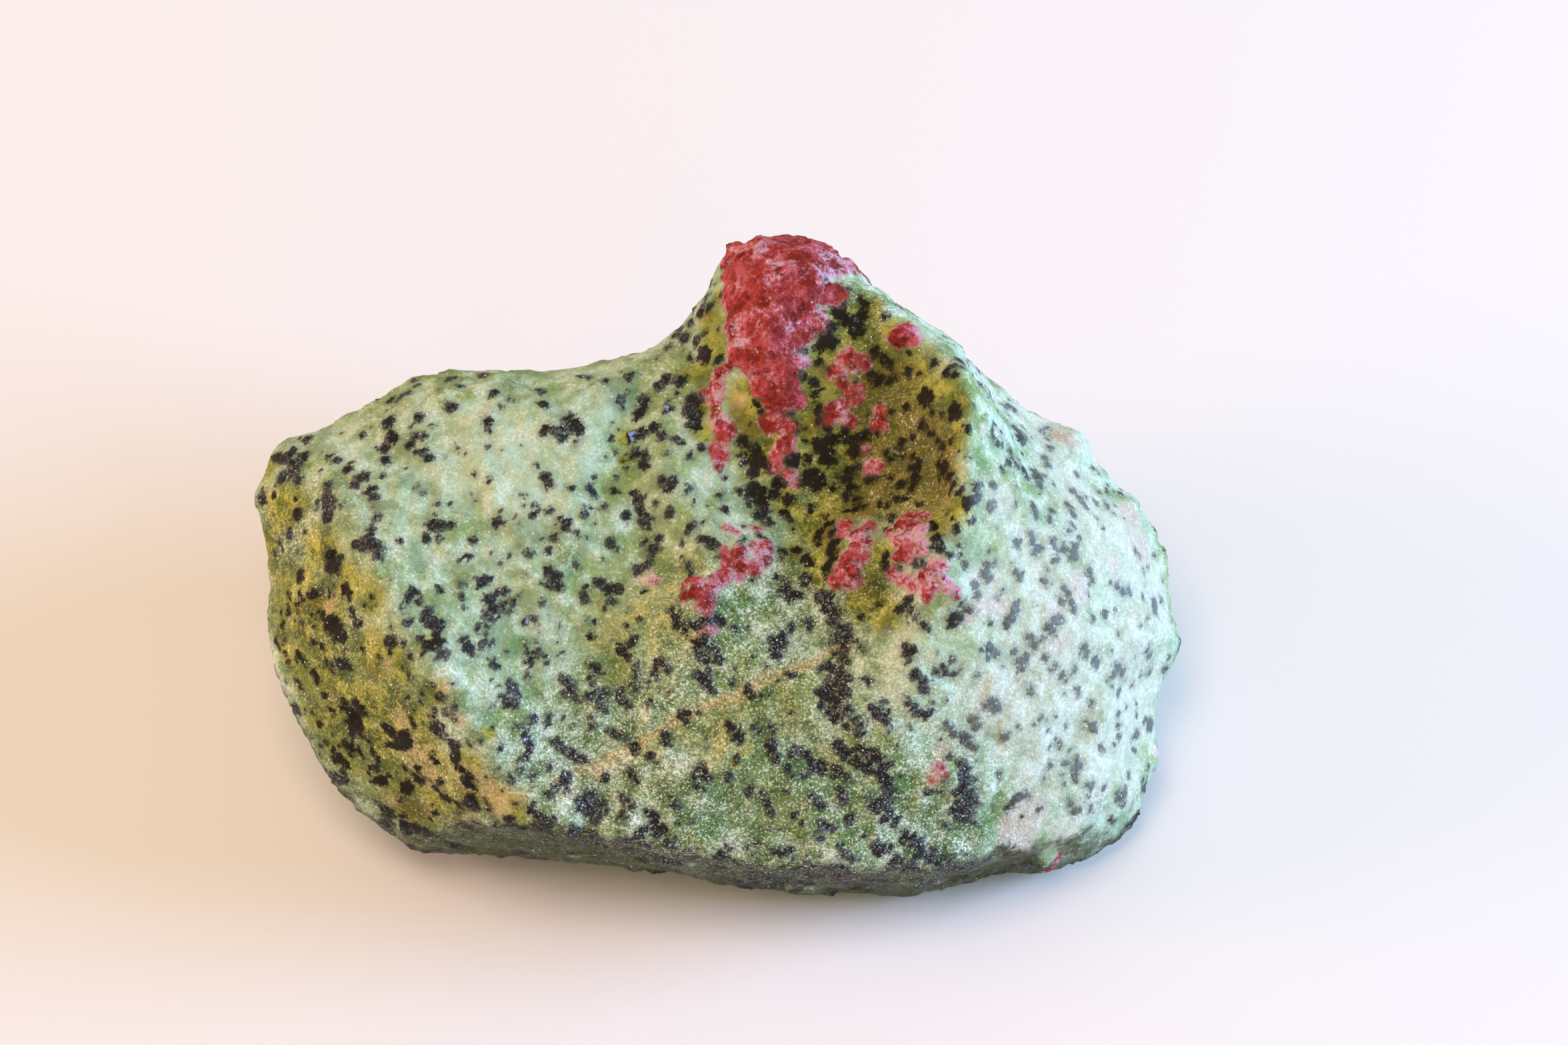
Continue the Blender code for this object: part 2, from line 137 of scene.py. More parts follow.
BLACK = {
    "shoulder": [
        (494, 686, 9), (506, 692, 9), (521, 706, 8), (533, 726, 9), (542, 718, 10), (550, 715, 8),
        (557, 737, 9), (562, 746, 9), (566, 757, 6), (574, 715, 6), (415, 686, 10), (440, 679, 8),
        (457, 686, 10), (439, 698, 10), (441, 708, 11), (445, 719, 9), (424, 717, 11), (461, 660, 9),
        (394, 749, 9), (491, 728, 10), (491, 749, 12), (495, 756, 10), (493, 775, 10), (447, 771, 10),
        (515, 758, 5), (434, 800, 9), (420, 814, 5), (460, 799, 4), (414, 830, 4), (557, 795, 8),
        (565, 775, 8), (535, 816, 10), (551, 818, 11), (565, 823, 11), (569, 835, 9), (499, 836, 10),
        (495, 853, 10), (509, 839, 6), (450, 862, 9), (585, 867, 4), (430, 690, 10), (452, 697, 8),
    ],
    "shelf_end": [
        (620, 572, 7), (626, 578, 6), (608, 592, 11), (585, 600, 8), (742, 588, 9), (582, 634, 12),
        (629, 628, 9), (624, 655, 9), (614, 668, 10), (632, 678, 9), (642, 688, 9), (588, 657, 12),
        (578, 675, 10), (577, 692, 8), (648, 640, 5), (636, 655, 6), (687, 673, 6), (698, 680, 3),
        (733, 634, 8), (735, 647, 6), (734, 671, 5), (624, 732, 7), (634, 738, 7), (658, 755, 5),
        (676, 570, 11), (690, 580, 7), (676, 612, 9), (725, 563, 8), (766, 599, 7), (751, 613, 5),
    ],
    "shelf": [
        (811, 588, 9), (815, 607, 9), (870, 588, 4), (874, 567, 10), (886, 568, 6), (909, 573, 8),
        (941, 567, 9), (942, 588, 5), (929, 602, 9), (852, 628, 10), (862, 636, 13), (868, 646, 9),
        (818, 642, 8), (830, 644, 8), (842, 642, 7), (817, 651, 6), (843, 657, 7), (862, 663, 4),
        (807, 698, 6), (818, 718, 9), (825, 727, 8), (786, 742, 6), (857, 735, 7), (882, 733, 8),
        (891, 741, 7), (923, 717, 5), (922, 738, 9), (802, 760, 6), (805, 769, 6), (827, 766, 7),
        (848, 786, 12), (877, 775, 7), (907, 763, 8), (876, 763, 4), (777, 787, 4), (745, 788, 9),
        (648, 783, 8), (675, 788, 8), (660, 790, 9), (865, 802, 6), (879, 807, 5), (832, 805, 8),
        (710, 810, 7), (823, 824, 7), (793, 829, 8), (706, 836, 5), (916, 813, 9), (922, 822, 7),
        (865, 850, 6), (787, 861, 5), (822, 856, 9), (832, 866, 10), (826, 876, 9), (838, 880, 8),
        (723, 875, 10), (732, 868, 7), (693, 876, 7), (660, 885, 8), (686, 890, 4), (899, 873, 9),
        (910, 882, 10), (925, 884, 9), (876, 893, 7), (880, 882, 6), (919, 903, 7), (815, 903, 7),
        (643, 786, 6), (650, 791, 8), (638, 809, 7), (661, 807, 6),
    ],
    "valley": [
        (965, 605, 11), (960, 620, 11), (970, 600, 8), (1003, 520, 6), (988, 535, 5), (1027, 507, 11),
        (1045, 513, 9), (1034, 537, 7), (1058, 531, 12), (1077, 542, 8), (1000, 567, 9), (1020, 573, 10),
        (990, 580, 8), (1017, 592, 6), (1038, 605, 12), (1048, 598, 9), (1035, 620, 10), (1050, 622, 6),
        (1001, 615, 9), (1039, 638, 10), (948, 655, 11), (963, 650, 10), (983, 643, 11), (995, 655, 8),
        (957, 680, 9), (968, 685, 9), (965, 700, 10), (938, 690, 4), (939, 705, 5), (1015, 660, 7),
        (1022, 666, 6), (1052, 672, 8), (1035, 685, 7), (1000, 680, 5), (993, 722, 10), (1003, 732, 10),
        (1010, 720, 8), (950, 740, 7), (957, 752, 9), (955, 765, 5), (980, 755, 5), (940, 773, 8),
        (967, 780, 11), (962, 768, 8), (973, 790, 7), (1005, 770, 9), (1028, 741, 5), (1077, 745, 7),
        (1085, 740, 5), (1087, 716, 5), (1086, 766, 8), (966, 812, 7), (987, 808, 7), (980, 826, 10),
        (977, 838, 8), (960, 855, 10), (970, 848, 8), (1037, 790, 10), (1030, 800, 6), (1055, 808, 9),
        (1066, 816, 11), (1077, 818, 6), (1025, 838, 4), (1033, 852, 8), (1038, 862, 7), (1078, 835, 5),
        (1065, 460, 8), (1050, 470, 8), (1035, 485, 9), (1020, 495, 8), (1060, 445, 7), (1040, 465, 7),
        (1055, 500, 6), (1012, 505, 6),
    ],
    "crest": [
        (1112, 660, 10), (1120, 667, 8), (1136, 674, 9), (1108, 683, 5), (1117, 695, 6), (1138, 692, 10),
        (1150, 698, 9), (1130, 712, 9), (1158, 705, 7), (1128, 728, 9), (1142, 736, 8), (1170, 725, 10),
        (1160, 742, 9), (1185, 748, 8), (1110, 738, 8), (1125, 742, 10), (1140, 755, 11), (1123, 760, 8),
        (1138, 773, 12), (1153, 785, 9), (1148, 765, 9), (1175, 770, 8), (1185, 777, 6), (1187, 793, 5),
        (1215, 760, 6), (1213, 768, 4), (1198, 473, 11), (1190, 480, 7), (1205, 480, 8), (1168, 488, 7),
        (1097, 393, 5), (1222, 417, 9), (1215, 412, 7), (1238, 422, 7), (1192, 520, 10), (1180, 525, 8),
        (1203, 527, 8), (1197, 557, 8), (1205, 568, 7), (1185, 620, 7), (1192, 638, 7), (1195, 648, 7),
        (1190, 688, 11), (1184, 696, 7), (1210, 690, 7), (1215, 712, 11), (1228, 722, 11), (1205, 725, 8),
        (1222, 733, 7), (1110, 815, 6), (1118, 810, 5), (1140, 805, 7), (1150, 812, 6), (1172, 828, 8),
        (1170, 838, 6), (1195, 826, 7), (1208, 838, 9), (1216, 846, 7), (1222, 590, 7), (1222, 575, 8),
        (1228, 545, 7), (1136, 603, 7), (1225, 452, 5),
    ],
    "hollow": [
        (1255, 460, 10), (1265, 455, 8), (1262, 472, 9), (1270, 483, 8), (1282, 410, 5), (1275, 435, 6),
        (1266, 438, 5), (1290, 445, 6), (1297, 458, 7), (1294, 472, 8), (1288, 488, 8), (1280, 500, 7),
        (1292, 500, 5), (1328, 474, 6), (1345, 453, 6), (1336, 450, 4), (1353, 459, 5), (1245, 490, 10),
        (1238, 505, 10), (1248, 515, 9), (1232, 518, 8), (1225, 500, 6), (1313, 527, 9), (1308, 535, 6),
        (1325, 541, 9), (1335, 548, 8), (1305, 563, 7), (1318, 572, 10), (1335, 572, 8), (1345, 560, 5),
        (1362, 558, 7), (1380, 563, 4), (1402, 543, 7), (1400, 550, 5), (1388, 587, 8), (1395, 595, 8),
        (1381, 597, 9), (1389, 605, 6), (1360, 610, 7), (1337, 618, 6), (1397, 618, 5), (1412, 622, 5),
        (1427, 615, 9), (1436, 622, 10), (1428, 628, 8), (1436, 613, 6), (1383, 640, 8), (1392, 650, 6),
        (1400, 650, 5), (1368, 658, 6), (1352, 664, 7), (1348, 672, 5), (1408, 663, 7), (1413, 672, 8),
        (1428, 662, 6), (1330, 680, 6), (1337, 688, 7), (1372, 687, 7), (1378, 697, 9), (1368, 702, 8),
        (1373, 714, 9), (1370, 728, 8), (1378, 722, 6), (1408, 695, 7), (1418, 702, 9), (1425, 715, 8),
        (1430, 727, 8), (1425, 738, 7), (1350, 728, 7), (1343, 750, 6), (1275, 708, 9), (1285, 702, 7),
        (1270, 720, 8), (1277, 732, 9), (1270, 745, 9), (1283, 750, 8), (1300, 718, 6), (1310, 718, 6),
        (1290, 655, 11), (1276, 662, 9), (1282, 676, 9), (1250, 658, 8), (1268, 648, 8), (1300, 650, 7),
        (1232, 668, 11), (1245, 660, 8), (1240, 682, 10), (1247, 692, 7), (1228, 615, 8), (1230, 630, 8),
        (1240, 643, 8), (1250, 735, 6), (1237, 775, 4), (1283, 766, 8), (1296, 762, 6), (1272, 768, 6),
        (1340, 778, 7), (1333, 775, 5), (1378, 758, 5), (1243, 785, 8), (1228, 803, 9), (1227, 815, 7),
        (1248, 800, 9), (1255, 812, 8), (1248, 826, 9), (1250, 838, 7), (1330, 835, 6), (1330, 850, 7),
        (1350, 855, 5), (1432, 795, 7), (1440, 738, 6), (1458, 780, 6), (1320, 908, 6), (1242, 850, 7),
        (1240, 862, 7),
    ],
    "brow": [
        (1438, 540, 7), (1448, 543, 5), (1458, 541, 6), (1466, 547, 5), (1430, 551, 7), (1422, 560, 8),
        (1432, 563, 7), (1443, 553, 5), (1467, 558, 5), (1470, 577, 5), (1477, 586, 4), (1482, 594, 4),
        (1462, 608, 4), (1449, 640, 6), (1453, 648, 5), (1492, 635, 5), (1488, 648, 5), (1490, 658, 6),
        (1496, 666, 8), (1503, 669, 5), (1514, 609, 7), (1521, 614, 6), (1508, 612, 5), (1522, 640, 6),
        (1528, 648, 8), (1537, 642, 6), (1533, 658, 9), (1539, 654, 6), (1518, 655, 5), (1562, 648, 6),
        (1570, 660, 6), (1575, 673, 7), (1568, 688, 6), (1572, 697, 6), (1515, 668, 5), (1516, 682, 7),
        (1512, 694, 7), (1525, 699, 8), (1534, 706, 8), (1540, 716, 7), (1505, 705, 6), (1550, 708, 8),
        (1557, 718, 10), (1561, 728, 8), (1462, 733, 8), (1470, 728, 6), (1490, 728, 7), (1525, 733, 4),
        (1580, 728, 6), (1455, 752, 10), (1465, 747, 8), (1452, 760, 7), (1485, 760, 8), (1492, 754, 5),
        (1522, 757, 6), (1550, 760, 6), (1553, 772, 7), (1546, 768, 4), (1578, 767, 7), (1573, 781, 6),
        (1450, 682, 4),
    ],
    "lobe": [
        (1610, 740, 8), (1618, 749, 7), (1603, 760, 8), (1608, 772, 7), (1625, 760, 6), (1607, 790, 6),
        (1602, 797, 4), (1546, 800, 5), (1548, 812, 9), (1556, 822, 9), (1552, 830, 6), (1523, 816, 8),
        (1528, 812, 4), (1578, 812, 6), (1583, 820, 5), (1618, 808, 6), (1597, 825, 8), (1611, 822, 8),
        (1611, 838, 9), (1608, 830, 7), (1580, 842, 7), (1588, 838, 6), (1572, 858, 5), (1480, 850, 7),
        (1478, 862, 7), (1484, 868, 6), (1493, 842, 4), (1447, 847, 7), (1440, 832, 5), (1437, 818, 5),
        (1528, 867, 7), (1524, 860, 5), (1566, 872, 6), (1574, 872, 4), (1462, 878, 6), (1465, 895, 6),
        (1505, 885, 4), (1496, 897, 3), (1633, 860, 7), (1638, 871, 5), (1598, 884, 7), (1602, 891, 6),
        (1606, 906, 8), (1592, 902, 7), (1609, 915, 6), (1703, 827, 5), (1708, 834, 5), (1715, 856, 7),
        (1675, 880, 6), (1684, 888, 8), (1694, 886, 7), (1712, 896, 5), (1742, 900, 6), (1517, 928, 9),
        (1523, 915, 7), (1508, 938, 6), (1527, 905, 5), (1680, 742, 5), (1660, 760, 6), (1432, 925, 8),
        (1428, 933, 7), (1440, 928, 7), (1452, 915, 7), (1443, 905, 6), (1583, 932, 9), (1575, 940, 7),
        (1591, 928, 6), (1580, 947, 6), (1637, 927, 6), (1658, 922, 7), (1712, 938, 4), (1720, 925, 4),
        (1548, 957, 6), (1541, 954, 5), (1554, 966, 7), (1563, 960, 5), (1543, 967, 4), (1485, 973, 8),
        (1494, 982, 7), (1482, 987, 6), (1470, 975, 4), (1522, 978, 6), (1529, 990, 7), (1539, 986, 7),
        (1533, 1001, 6), (1505, 1000, 4), (1568, 988, 4), (1583, 999, 5), (1625, 970, 8), (1630, 983, 7),
        (1620, 983, 5), (1643, 988, 7), (1647, 996, 6), (1592, 1013, 6), (1598, 1020, 6), (1610, 1005, 6),
        (1676, 1002, 8), (1684, 1007, 8), (1671, 1011, 6), (1663, 1020, 5), (1615, 1033, 5), (1617, 1041, 4),
        (1722, 974, 6), (1725, 983, 5), (1725, 1009, 5), (1667, 1030, 4), (1637, 1055, 6), (1490, 1053, 8),
        (1496, 1062, 7), (1503, 1062, 3), (1465, 1013, 5), (1398, 788, 8), (1405, 808, 9), (1411, 820, 8),
        (1400, 822, 6), (1425, 832, 6), (1373, 845, 8), (1384, 845, 7), (1386, 853, 6), (1387, 938, 8),
        (1391, 947, 6), (1378, 925, 5), (1360, 903, 9), (1352, 912, 8), (1368, 917, 8), (1362, 978, 8),
        (1359, 970, 6), (1370, 974, 6), (1366, 988, 6), (1375, 1012, 9), (1382, 1022, 8), (1372, 1006, 6),
        (1385, 1035, 8), (1379, 1030, 6), (1428, 988, 7), (1415, 1000, 7), (1420, 1010, 8), (1406, 1010, 6),
        (1430, 1012, 7), (1442, 1005, 4), (1470, 728, 5),
    ],
    "lobe_low": [
        (1458, 1080, 7), (1464, 1088, 7), (1563, 1075, 5), (1570, 1080, 5), (1508, 1104, 7), (1514, 1100, 4),
        (1640, 1092, 8), (1724, 1088, 8), (1704, 1103, 8), (1698, 1107, 5), (1590, 1117, 7), (1654, 1120, 5),
        (1658, 1126, 4), (1448, 1107, 8), (1455, 1117, 7), (1463, 1122, 6), (1445, 1103, 5), (1600, 1145, 7),
        (1614, 1140, 6), (1618, 1152, 7), (1610, 1150, 5), (1612, 1166, 7), (1595, 1163, 5), (1597, 1176, 4),
        (1500, 1160, 6), (1502, 1169, 4), (1567, 1168, 4), (1635, 1180, 7), (1628, 1177, 4), (1693, 1162, 5),
        (1715, 1170, 6), (1677, 1189, 7), (1680, 1199, 8), (1684, 1208, 5), (1605, 1207, 7), (1612, 1217, 8),
        (1603, 1200, 5), (1617, 1212, 5), (1635, 1212, 6), (1641, 1217, 4), (1664, 1228, 6), (1671, 1231, 6),
        (1690, 1240, 8), (1697, 1236, 6), (1683, 1245, 5), (1705, 1220, 5), (1530, 1195, 7), (1520, 1204, 7),
        (1510, 1213, 6), (1543, 1191, 5), (1545, 1200, 4), (1557, 1213, 5), (1620, 1290, 5), (1650, 1275, 5),
        (1500, 1308, 6), (1515, 1308, 7), (1480, 1312, 6), (1470, 1315, 5), (1545, 1303, 7), (1553, 1306, 6),
        (1530, 1305, 5), (1425, 1310, 7), (1440, 1315, 6), (1435, 1322, 5), (1448, 1324, 5), (1510, 1268, 4),
    ],
    "middle": [
        (1012, 925, 8), (1018, 935, 8), (1028, 945, 7), (1008, 915, 6), (1020, 920, 5), (1058, 930, 8),
        (1073, 926, 7), (1082, 930, 8), (1048, 938, 7), (1038, 938, 7), (1102, 943, 6), (1058, 953, 6),
        (1045, 965, 6), (1055, 965, 7), (1070, 968, 7), (1075, 978, 7), (1078, 987, 8), (1062, 992, 7),
        (1053, 984, 8), (1043, 976, 6), (1062, 1005, 5), (1050, 1014, 8), (1058, 1020, 8), (1045, 1010, 6),
        (1064, 1030, 7), (1068, 1038, 5), (1098, 1022, 6), (1122, 1038, 7), (1127, 1046, 7), (1183, 1013, 6),
        (1191, 1013, 5), (1025, 1072, 8), (1030, 1081, 7), (997, 1103, 8), (1000, 1113, 7), (1006, 1104, 5),
        (1165, 865, 6), (1172, 870, 5), (1178, 885, 9), (1185, 895, 9), (1196, 893, 8), (1170, 890, 6),
        (1180, 876, 6), (1210, 873, 8), (1205, 866, 6), (1215, 868, 6), (1187, 940, 7), (1215, 938, 7),
        (1210, 932, 5), (1160, 960, 8), (1170, 957, 8), (1165, 970, 9), (1175, 965, 6), (1163, 982, 7),
        (1172, 984, 5), (993, 993, 8), (1003, 1005, 6), (985, 1003, 6), (983, 1012, 6), (957, 1008, 6),
        (952, 1022, 5), (955, 1033, 6), (948, 1026, 4), (933, 975, 8), (941, 984, 7), (928, 968, 5),
        (950, 960, 7), (944, 966, 6), (960, 930, 5), (937, 1053, 8), (943, 1060, 6), (928, 1045, 6),
        (975, 1053, 6), (907, 1042, 8), (885, 953, 5), (890, 1000, 8), (896, 1005, 7), (885, 1016, 6),
        (890, 1027, 6), (893, 1036, 5), (884, 1045, 8), (895, 1050, 8), (901, 1059, 7), (908, 1066, 6),
        (883, 1077, 5), (887, 1092, 6), (848, 1020, 9), (855, 1032, 9), (850, 1040, 8), (862, 1045, 7),
        (866, 1051, 5), (1105, 1003, 3), (1130, 985, 4),
    ],
    "streak": [
        (1232, 895, 8), (1240, 903, 9), (1247, 893, 7), (1243, 915, 9), (1252, 920, 9), (1250, 932, 9),
        (1258, 940, 8), (1254, 950, 7), (1262, 958, 8), (1270, 945, 8), (1272, 957, 8), (1265, 968, 7),
        (1285, 962, 5), (1268, 977, 6), (1290, 972, 6), (1297, 978, 4), (1245, 962, 6), (1252, 980, 7),
        (1262, 988, 8), (1272, 992, 7), (1240, 998, 7), (1250, 1005, 9), (1262, 1005, 8), (1232, 1003, 5),
        (1258, 1017, 9), (1270, 1020, 9), (1245, 1018, 6), (1240, 1035, 9), (1230, 1042, 7), (1252, 1032, 9),
        (1264, 1035, 9), (1272, 1040, 7), (1245, 1048, 8), (1257, 1052, 9), (1252, 1065, 8), (1260, 1074, 8),
        (1270, 1063, 7), (1277, 1066, 4), (1283, 1080, 7), (1290, 1090, 7), (1284, 1100, 6), (1270, 1090, 6),
        (1293, 1099, 5), (1303, 1022, 7), (1296, 1020, 5),
    ],
    "shelf_low": [
        (735, 900, 9), (745, 893, 8), (757, 888, 9), (770, 903, 8), (755, 907, 9), (740, 912, 9),
        (728, 924, 7), (737, 928, 7), (731, 940, 7), (718, 943, 7), (752, 924, 6), (765, 915, 6),
        (780, 895, 5), (693, 896, 7), (695, 908, 6), (787, 932, 7), (794, 928, 6), (803, 930, 6),
        (825, 925, 4), (838, 940, 4), (645, 918, 8), (652, 930, 8), (657, 940, 8), (642, 938, 7),
        (665, 935, 7), (637, 926, 7), (655, 953, 7), (660, 965, 7), (657, 974, 6), (644, 968, 7),
        (694, 960, 7), (701, 970, 9), (706, 979, 7), (697, 974, 7), (730, 958, 7), (737, 967, 7),
        (724, 966, 7), (743, 960, 5), (663, 985, 7), (655, 990, 5), (671, 982, 5), (740, 992, 8),
        (747, 1000, 7), (761, 978, 5), (790, 965, 5), (793, 980, 6), (795, 991, 6), (797, 999, 4),
        (808, 977, 6), (817, 985, 7), (820, 993, 5), (804, 965, 5), (835, 983, 4), (620, 888, 9),
        (612, 898, 8), (630, 903, 7), (604, 910, 5), (610, 934, 7), (618, 930, 5), (722, 870, 4),
    ],
    "front_left": [
        (768, 1030, 8), (774, 1040, 7), (764, 1024, 5), (793, 1015, 6), (763, 1055, 8), (772, 1060, 7),
        (752, 1045, 4), (737, 1060, 5), (800, 1080, 7), (794, 1084, 5), (824, 1074, 6), (822, 1085, 5),
        (845, 1078, 4), (772, 1092, 6), (781, 1090, 5), (786, 1104, 6), (790, 1113, 7), (795, 1124, 6),
        (788, 1136, 6), (780, 1142, 5), (833, 1113, 6), (841, 1119, 7), (850, 1126, 7), (859, 1132, 7),
        (868, 1137, 8), (877, 1139, 6), (825, 1150, 5), (849, 1167, 8), (845, 1174, 5), (780, 1155, 6),
        (799, 1165, 6), (765, 1163, 6), (767, 1172, 5), (823, 1191, 7), (835, 1181, 5), (850, 1185, 4),
        (908, 1167, 7), (885, 1193, 8), (877, 1203, 8), (890, 1208, 9), (902, 1204, 8), (881, 1218, 9),
        (895, 1222, 8), (908, 1215, 6), (890, 1232, 7), (866, 1201, 6), (870, 1213, 6), (934, 1196, 6),
        (940, 1203, 6), (947, 1210, 6), (933, 1222, 7), (940, 1226, 4), (944, 1163, 7), (953, 1173, 7),
        (948, 1155, 5), (920, 1098, 7), (930, 1103, 7), (941, 1107, 6), (911, 1096, 4), (950, 1119, 7),
        (953, 1126, 5), (975, 1135, 6), (983, 1143, 4), (800, 1205, 5), (798, 1216, 6), (806, 1224, 7),
        (818, 1228, 7), (830, 1230, 6), (840, 1240, 4), (750, 1122, 5), (773, 1205, 4), (975, 1220, 7),
        (981, 1229, 7), (988, 1241, 8), (985, 1252, 7), (996, 1251, 6), (957, 1256, 7), (964, 1266, 7),
        (974, 1270, 6), (965, 1245, 6), (1000, 1265, 7), (1010, 1271, 6), (1030, 1276, 5),
    ],
    "belly": [
        (1100, 1092, 8), (1093, 1087, 6), (1106, 1103, 8), (1110, 1111, 4), (1132, 1093, 7), (1140, 1099, 6),
        (1156, 1090, 6), (1161, 1098, 5), (1157, 1117, 8), (1157, 1128, 7), (1163, 1138, 8), (1149, 1116, 4),
        (1190, 1130, 7), (1200, 1125, 6), (1209, 1133, 7), (1217, 1142, 8), (1225, 1150, 9), (1233, 1157, 7),
        (1218, 1153, 6), (1180, 1151, 7), (1183, 1158, 5), (1203, 1164, 5), (1255, 1118, 7), (1263, 1126, 8),
        (1271, 1131, 7), (1265, 1138, 5), (1290, 1120, 7), (1298, 1127, 7), (1285, 1142, 7), (1293, 1149, 8),
        (1302, 1154, 8), (1304, 1146, 6), (1314, 1129, 7), (1318, 1138, 8), (1309, 1138, 5), (1325, 1148, 8),
        (1318, 1157, 8), (1331, 1145, 4), (1339, 1145, 5), (1253, 1152, 7), (1258, 1161, 7), (1266, 1160, 7),
        (1272, 1167, 6), (1324, 1166, 8), (1332, 1171, 8), (1334, 1181, 8), (1341, 1188, 7), (1346, 1194, 4),
        (1262, 1188, 8), (1267, 1196, 6), (1263, 1206, 5), (1257, 1181, 5), (1308, 1195, 6), (1310, 1207, 8),
        (1321, 1203, 8), (1316, 1215, 7), (1327, 1195, 7), (1335, 1205, 6), (1300, 1195, 4), (1336, 1217, 7),
        (1345, 1226, 7), (1342, 1236, 6), (1328, 1229, 5), (1125, 1184, 7), (1121, 1191, 5), (1143, 1190, 4),
        (1150, 1196, 5), (1150, 1206, 7), (1154, 1216, 7), (1158, 1222, 4), (1141, 1201, 4), (1178, 1190, 4),
        (1190, 1223, 5), (1203, 1235, 4), (1218, 1195, 6), (1225, 1203, 7), (1231, 1212, 7), (1273, 1230, 6),
        (1277, 1224, 5), (1270, 1237, 4), (1232, 1235, 6), (1240, 1241, 7), (1224, 1252, 5), (1231, 1259, 5),
        (1250, 1243, 5), (1297, 1253, 4), (1261, 1270, 6), (1267, 1280, 7), (1276, 1287, 7), (1285, 1290, 4),
        (1314, 1270, 8), (1325, 1274, 7), (1319, 1283, 6), (1335, 1272, 6), (1163, 1278, 7), (1173, 1281, 6),
        (1183, 1278, 6), (1159, 1271, 4), (1190, 1288, 4), (1210, 1290, 5), (1218, 1298, 5), (1050, 1152, 6),
        (1055, 1162, 8), (1063, 1167, 6), (1040, 1168, 6), (1045, 1180, 7), (1054, 1184, 5), (1038, 1160, 4),
        (1094, 1167, 6), (1091, 1159, 4), (1007, 1195, 5), (1014, 1203, 5), (1018, 1212, 6), (1040, 1232, 4),
        (1203, 1165, 4), (1105, 1140, 5), (1395, 1188, 7), (1415, 1170, 4), (1120, 1270, 4), (1095, 1275, 4),
    ],
    "front_right": [
        (1310, 1062, 6), (1315, 1071, 8), (1323, 1078, 8), (1329, 1086, 5), (1331, 1070, 5), (1335, 1092, 4),
        (1364, 1053, 7), (1370, 1061, 7), (1377, 1070, 7), (1389, 1072, 7), (1398, 1055, 5), (1396, 1067, 5),
        (1423, 1091, 7), (1430, 1100, 7), (1419, 1085, 5), (1418, 1052, 3), (1440, 1145, 7), (1447, 1154, 7),
        (1442, 1165, 8), (1452, 1172, 8), (1433, 1187, 8), (1444, 1182, 9), (1456, 1185, 8), (1462, 1194, 7),
        (1449, 1196, 9), (1438, 1203, 8), (1455, 1206, 9), (1466, 1206, 6), (1430, 1216, 7), (1441, 1219, 8),
        (1455, 1220, 8), (1433, 1229, 5), (1447, 1231, 7), (1461, 1233, 6), (1471, 1237, 4), (1418, 1236, 5),
        (1426, 1243, 4), (1358, 1250, 7), (1355, 1261, 7), (1368, 1256, 7), (1376, 1265, 7), (1384, 1258, 5),
        (1365, 1270, 6), (1381, 1275, 7), (1374, 1285, 7), (1388, 1284, 7), (1398, 1288, 7), (1407, 1293, 7),
        (1415, 1285, 7), (1425, 1292, 7), (1400, 1278, 6), (1370, 1295, 6), (1362, 1301, 6), (1350, 1303, 5),
        (1411, 1301, 6), (1435, 1298, 6), (1430, 1284, 5), (1390, 1305, 5), (1452, 1283, 3),
    ],
    "left_face": [
        (501, 938, 13), (510, 952, 10), (535, 1060, 13), (538, 1082, 15), (528, 1096, 9), (553, 815, 13),
        (566, 823, 10), (501, 848, 10), (451, 863, 8), (512, 996, 9), (585, 962, 10), (656, 1095, 10),
        (681, 1118, 9), (684, 1138, 8), (702, 1175, 9), (574, 1169, 9), (581, 1224, 10), (521, 1118, 8),
        (485, 923, 6), (477, 918, 5), (474, 890, 7), (493, 938, 9), (503, 943, 11), (511, 951, 10),
        (504, 957, 7), (516, 958, 6), (497, 930, 6), (516, 884, 7), (521, 891, 4), (527, 914, 5),
        (530, 925, 5), (533, 936, 6), (531, 945, 4), (540, 934, 4), (424, 938, 5), (412, 915, 5),
        (414, 960, 6), (428, 980, 3), (437, 895, 3), (447, 906, 5), (448, 983, 7), (456, 992, 6),
        (471, 1011, 6), (475, 1021, 5), (497, 997, 6), (498, 1006, 5), (489, 997, 4), (509, 990, 6),
        (519, 994, 6), (524, 1003, 5), (541, 972, 4), (546, 977, 2), (517, 976, 3), (445, 1022, 5),
        (449, 1031, 5), (585, 965, 7), (591, 957, 6), (583, 976, 5), (615, 985, 6), (603, 965, 6),
        (614, 1011, 5), (615, 1019, 4), (612, 1046, 5), (634, 1040, 5), (497, 1063, 5), (500, 1073, 4),
        (518, 1055, 7), (514, 1062, 5), (525, 1066, 7), (539, 1062, 6), (546, 1070, 6), (530, 1083, 10),
        (543, 1084, 10), (531, 1097, 9), (543, 1096, 9), (520, 1114, 6), (528, 1121, 7), (526, 1130, 4),
        (545, 1135, 5), (510, 1138, 7), (520, 1147, 5), (480, 1119, 6), (490, 1114, 5), (500, 1126, 5),
        (475, 1135, 6), (505, 1164, 6), (519, 1171, 7), (514, 1157, 6), (559, 1128, 5), (566, 1136, 4),
        (565, 1154, 4), (562, 1172, 6), (571, 1175, 4), (583, 1162, 4), (625, 1162, 6), (616, 1079, 5),
        (622, 1088, 5), (645, 1075, 3), (622, 1065, 4), (652, 1065, 4), (657, 1088, 8), (664, 1094, 8),
        (655, 1097, 6), (662, 1105, 4), (672, 1110, 5), (679, 1119, 8), (684, 1130, 7), (681, 1140, 6),
        (686, 1149, 5), (692, 1155, 4), (649, 1136, 5), (655, 1143, 5), (702, 1166, 7), (708, 1178, 7),
        (699, 1174, 5), (713, 1167, 4), (662, 1194, 6), (671, 1199, 6), (690, 1210, 5), (684, 1222, 4),
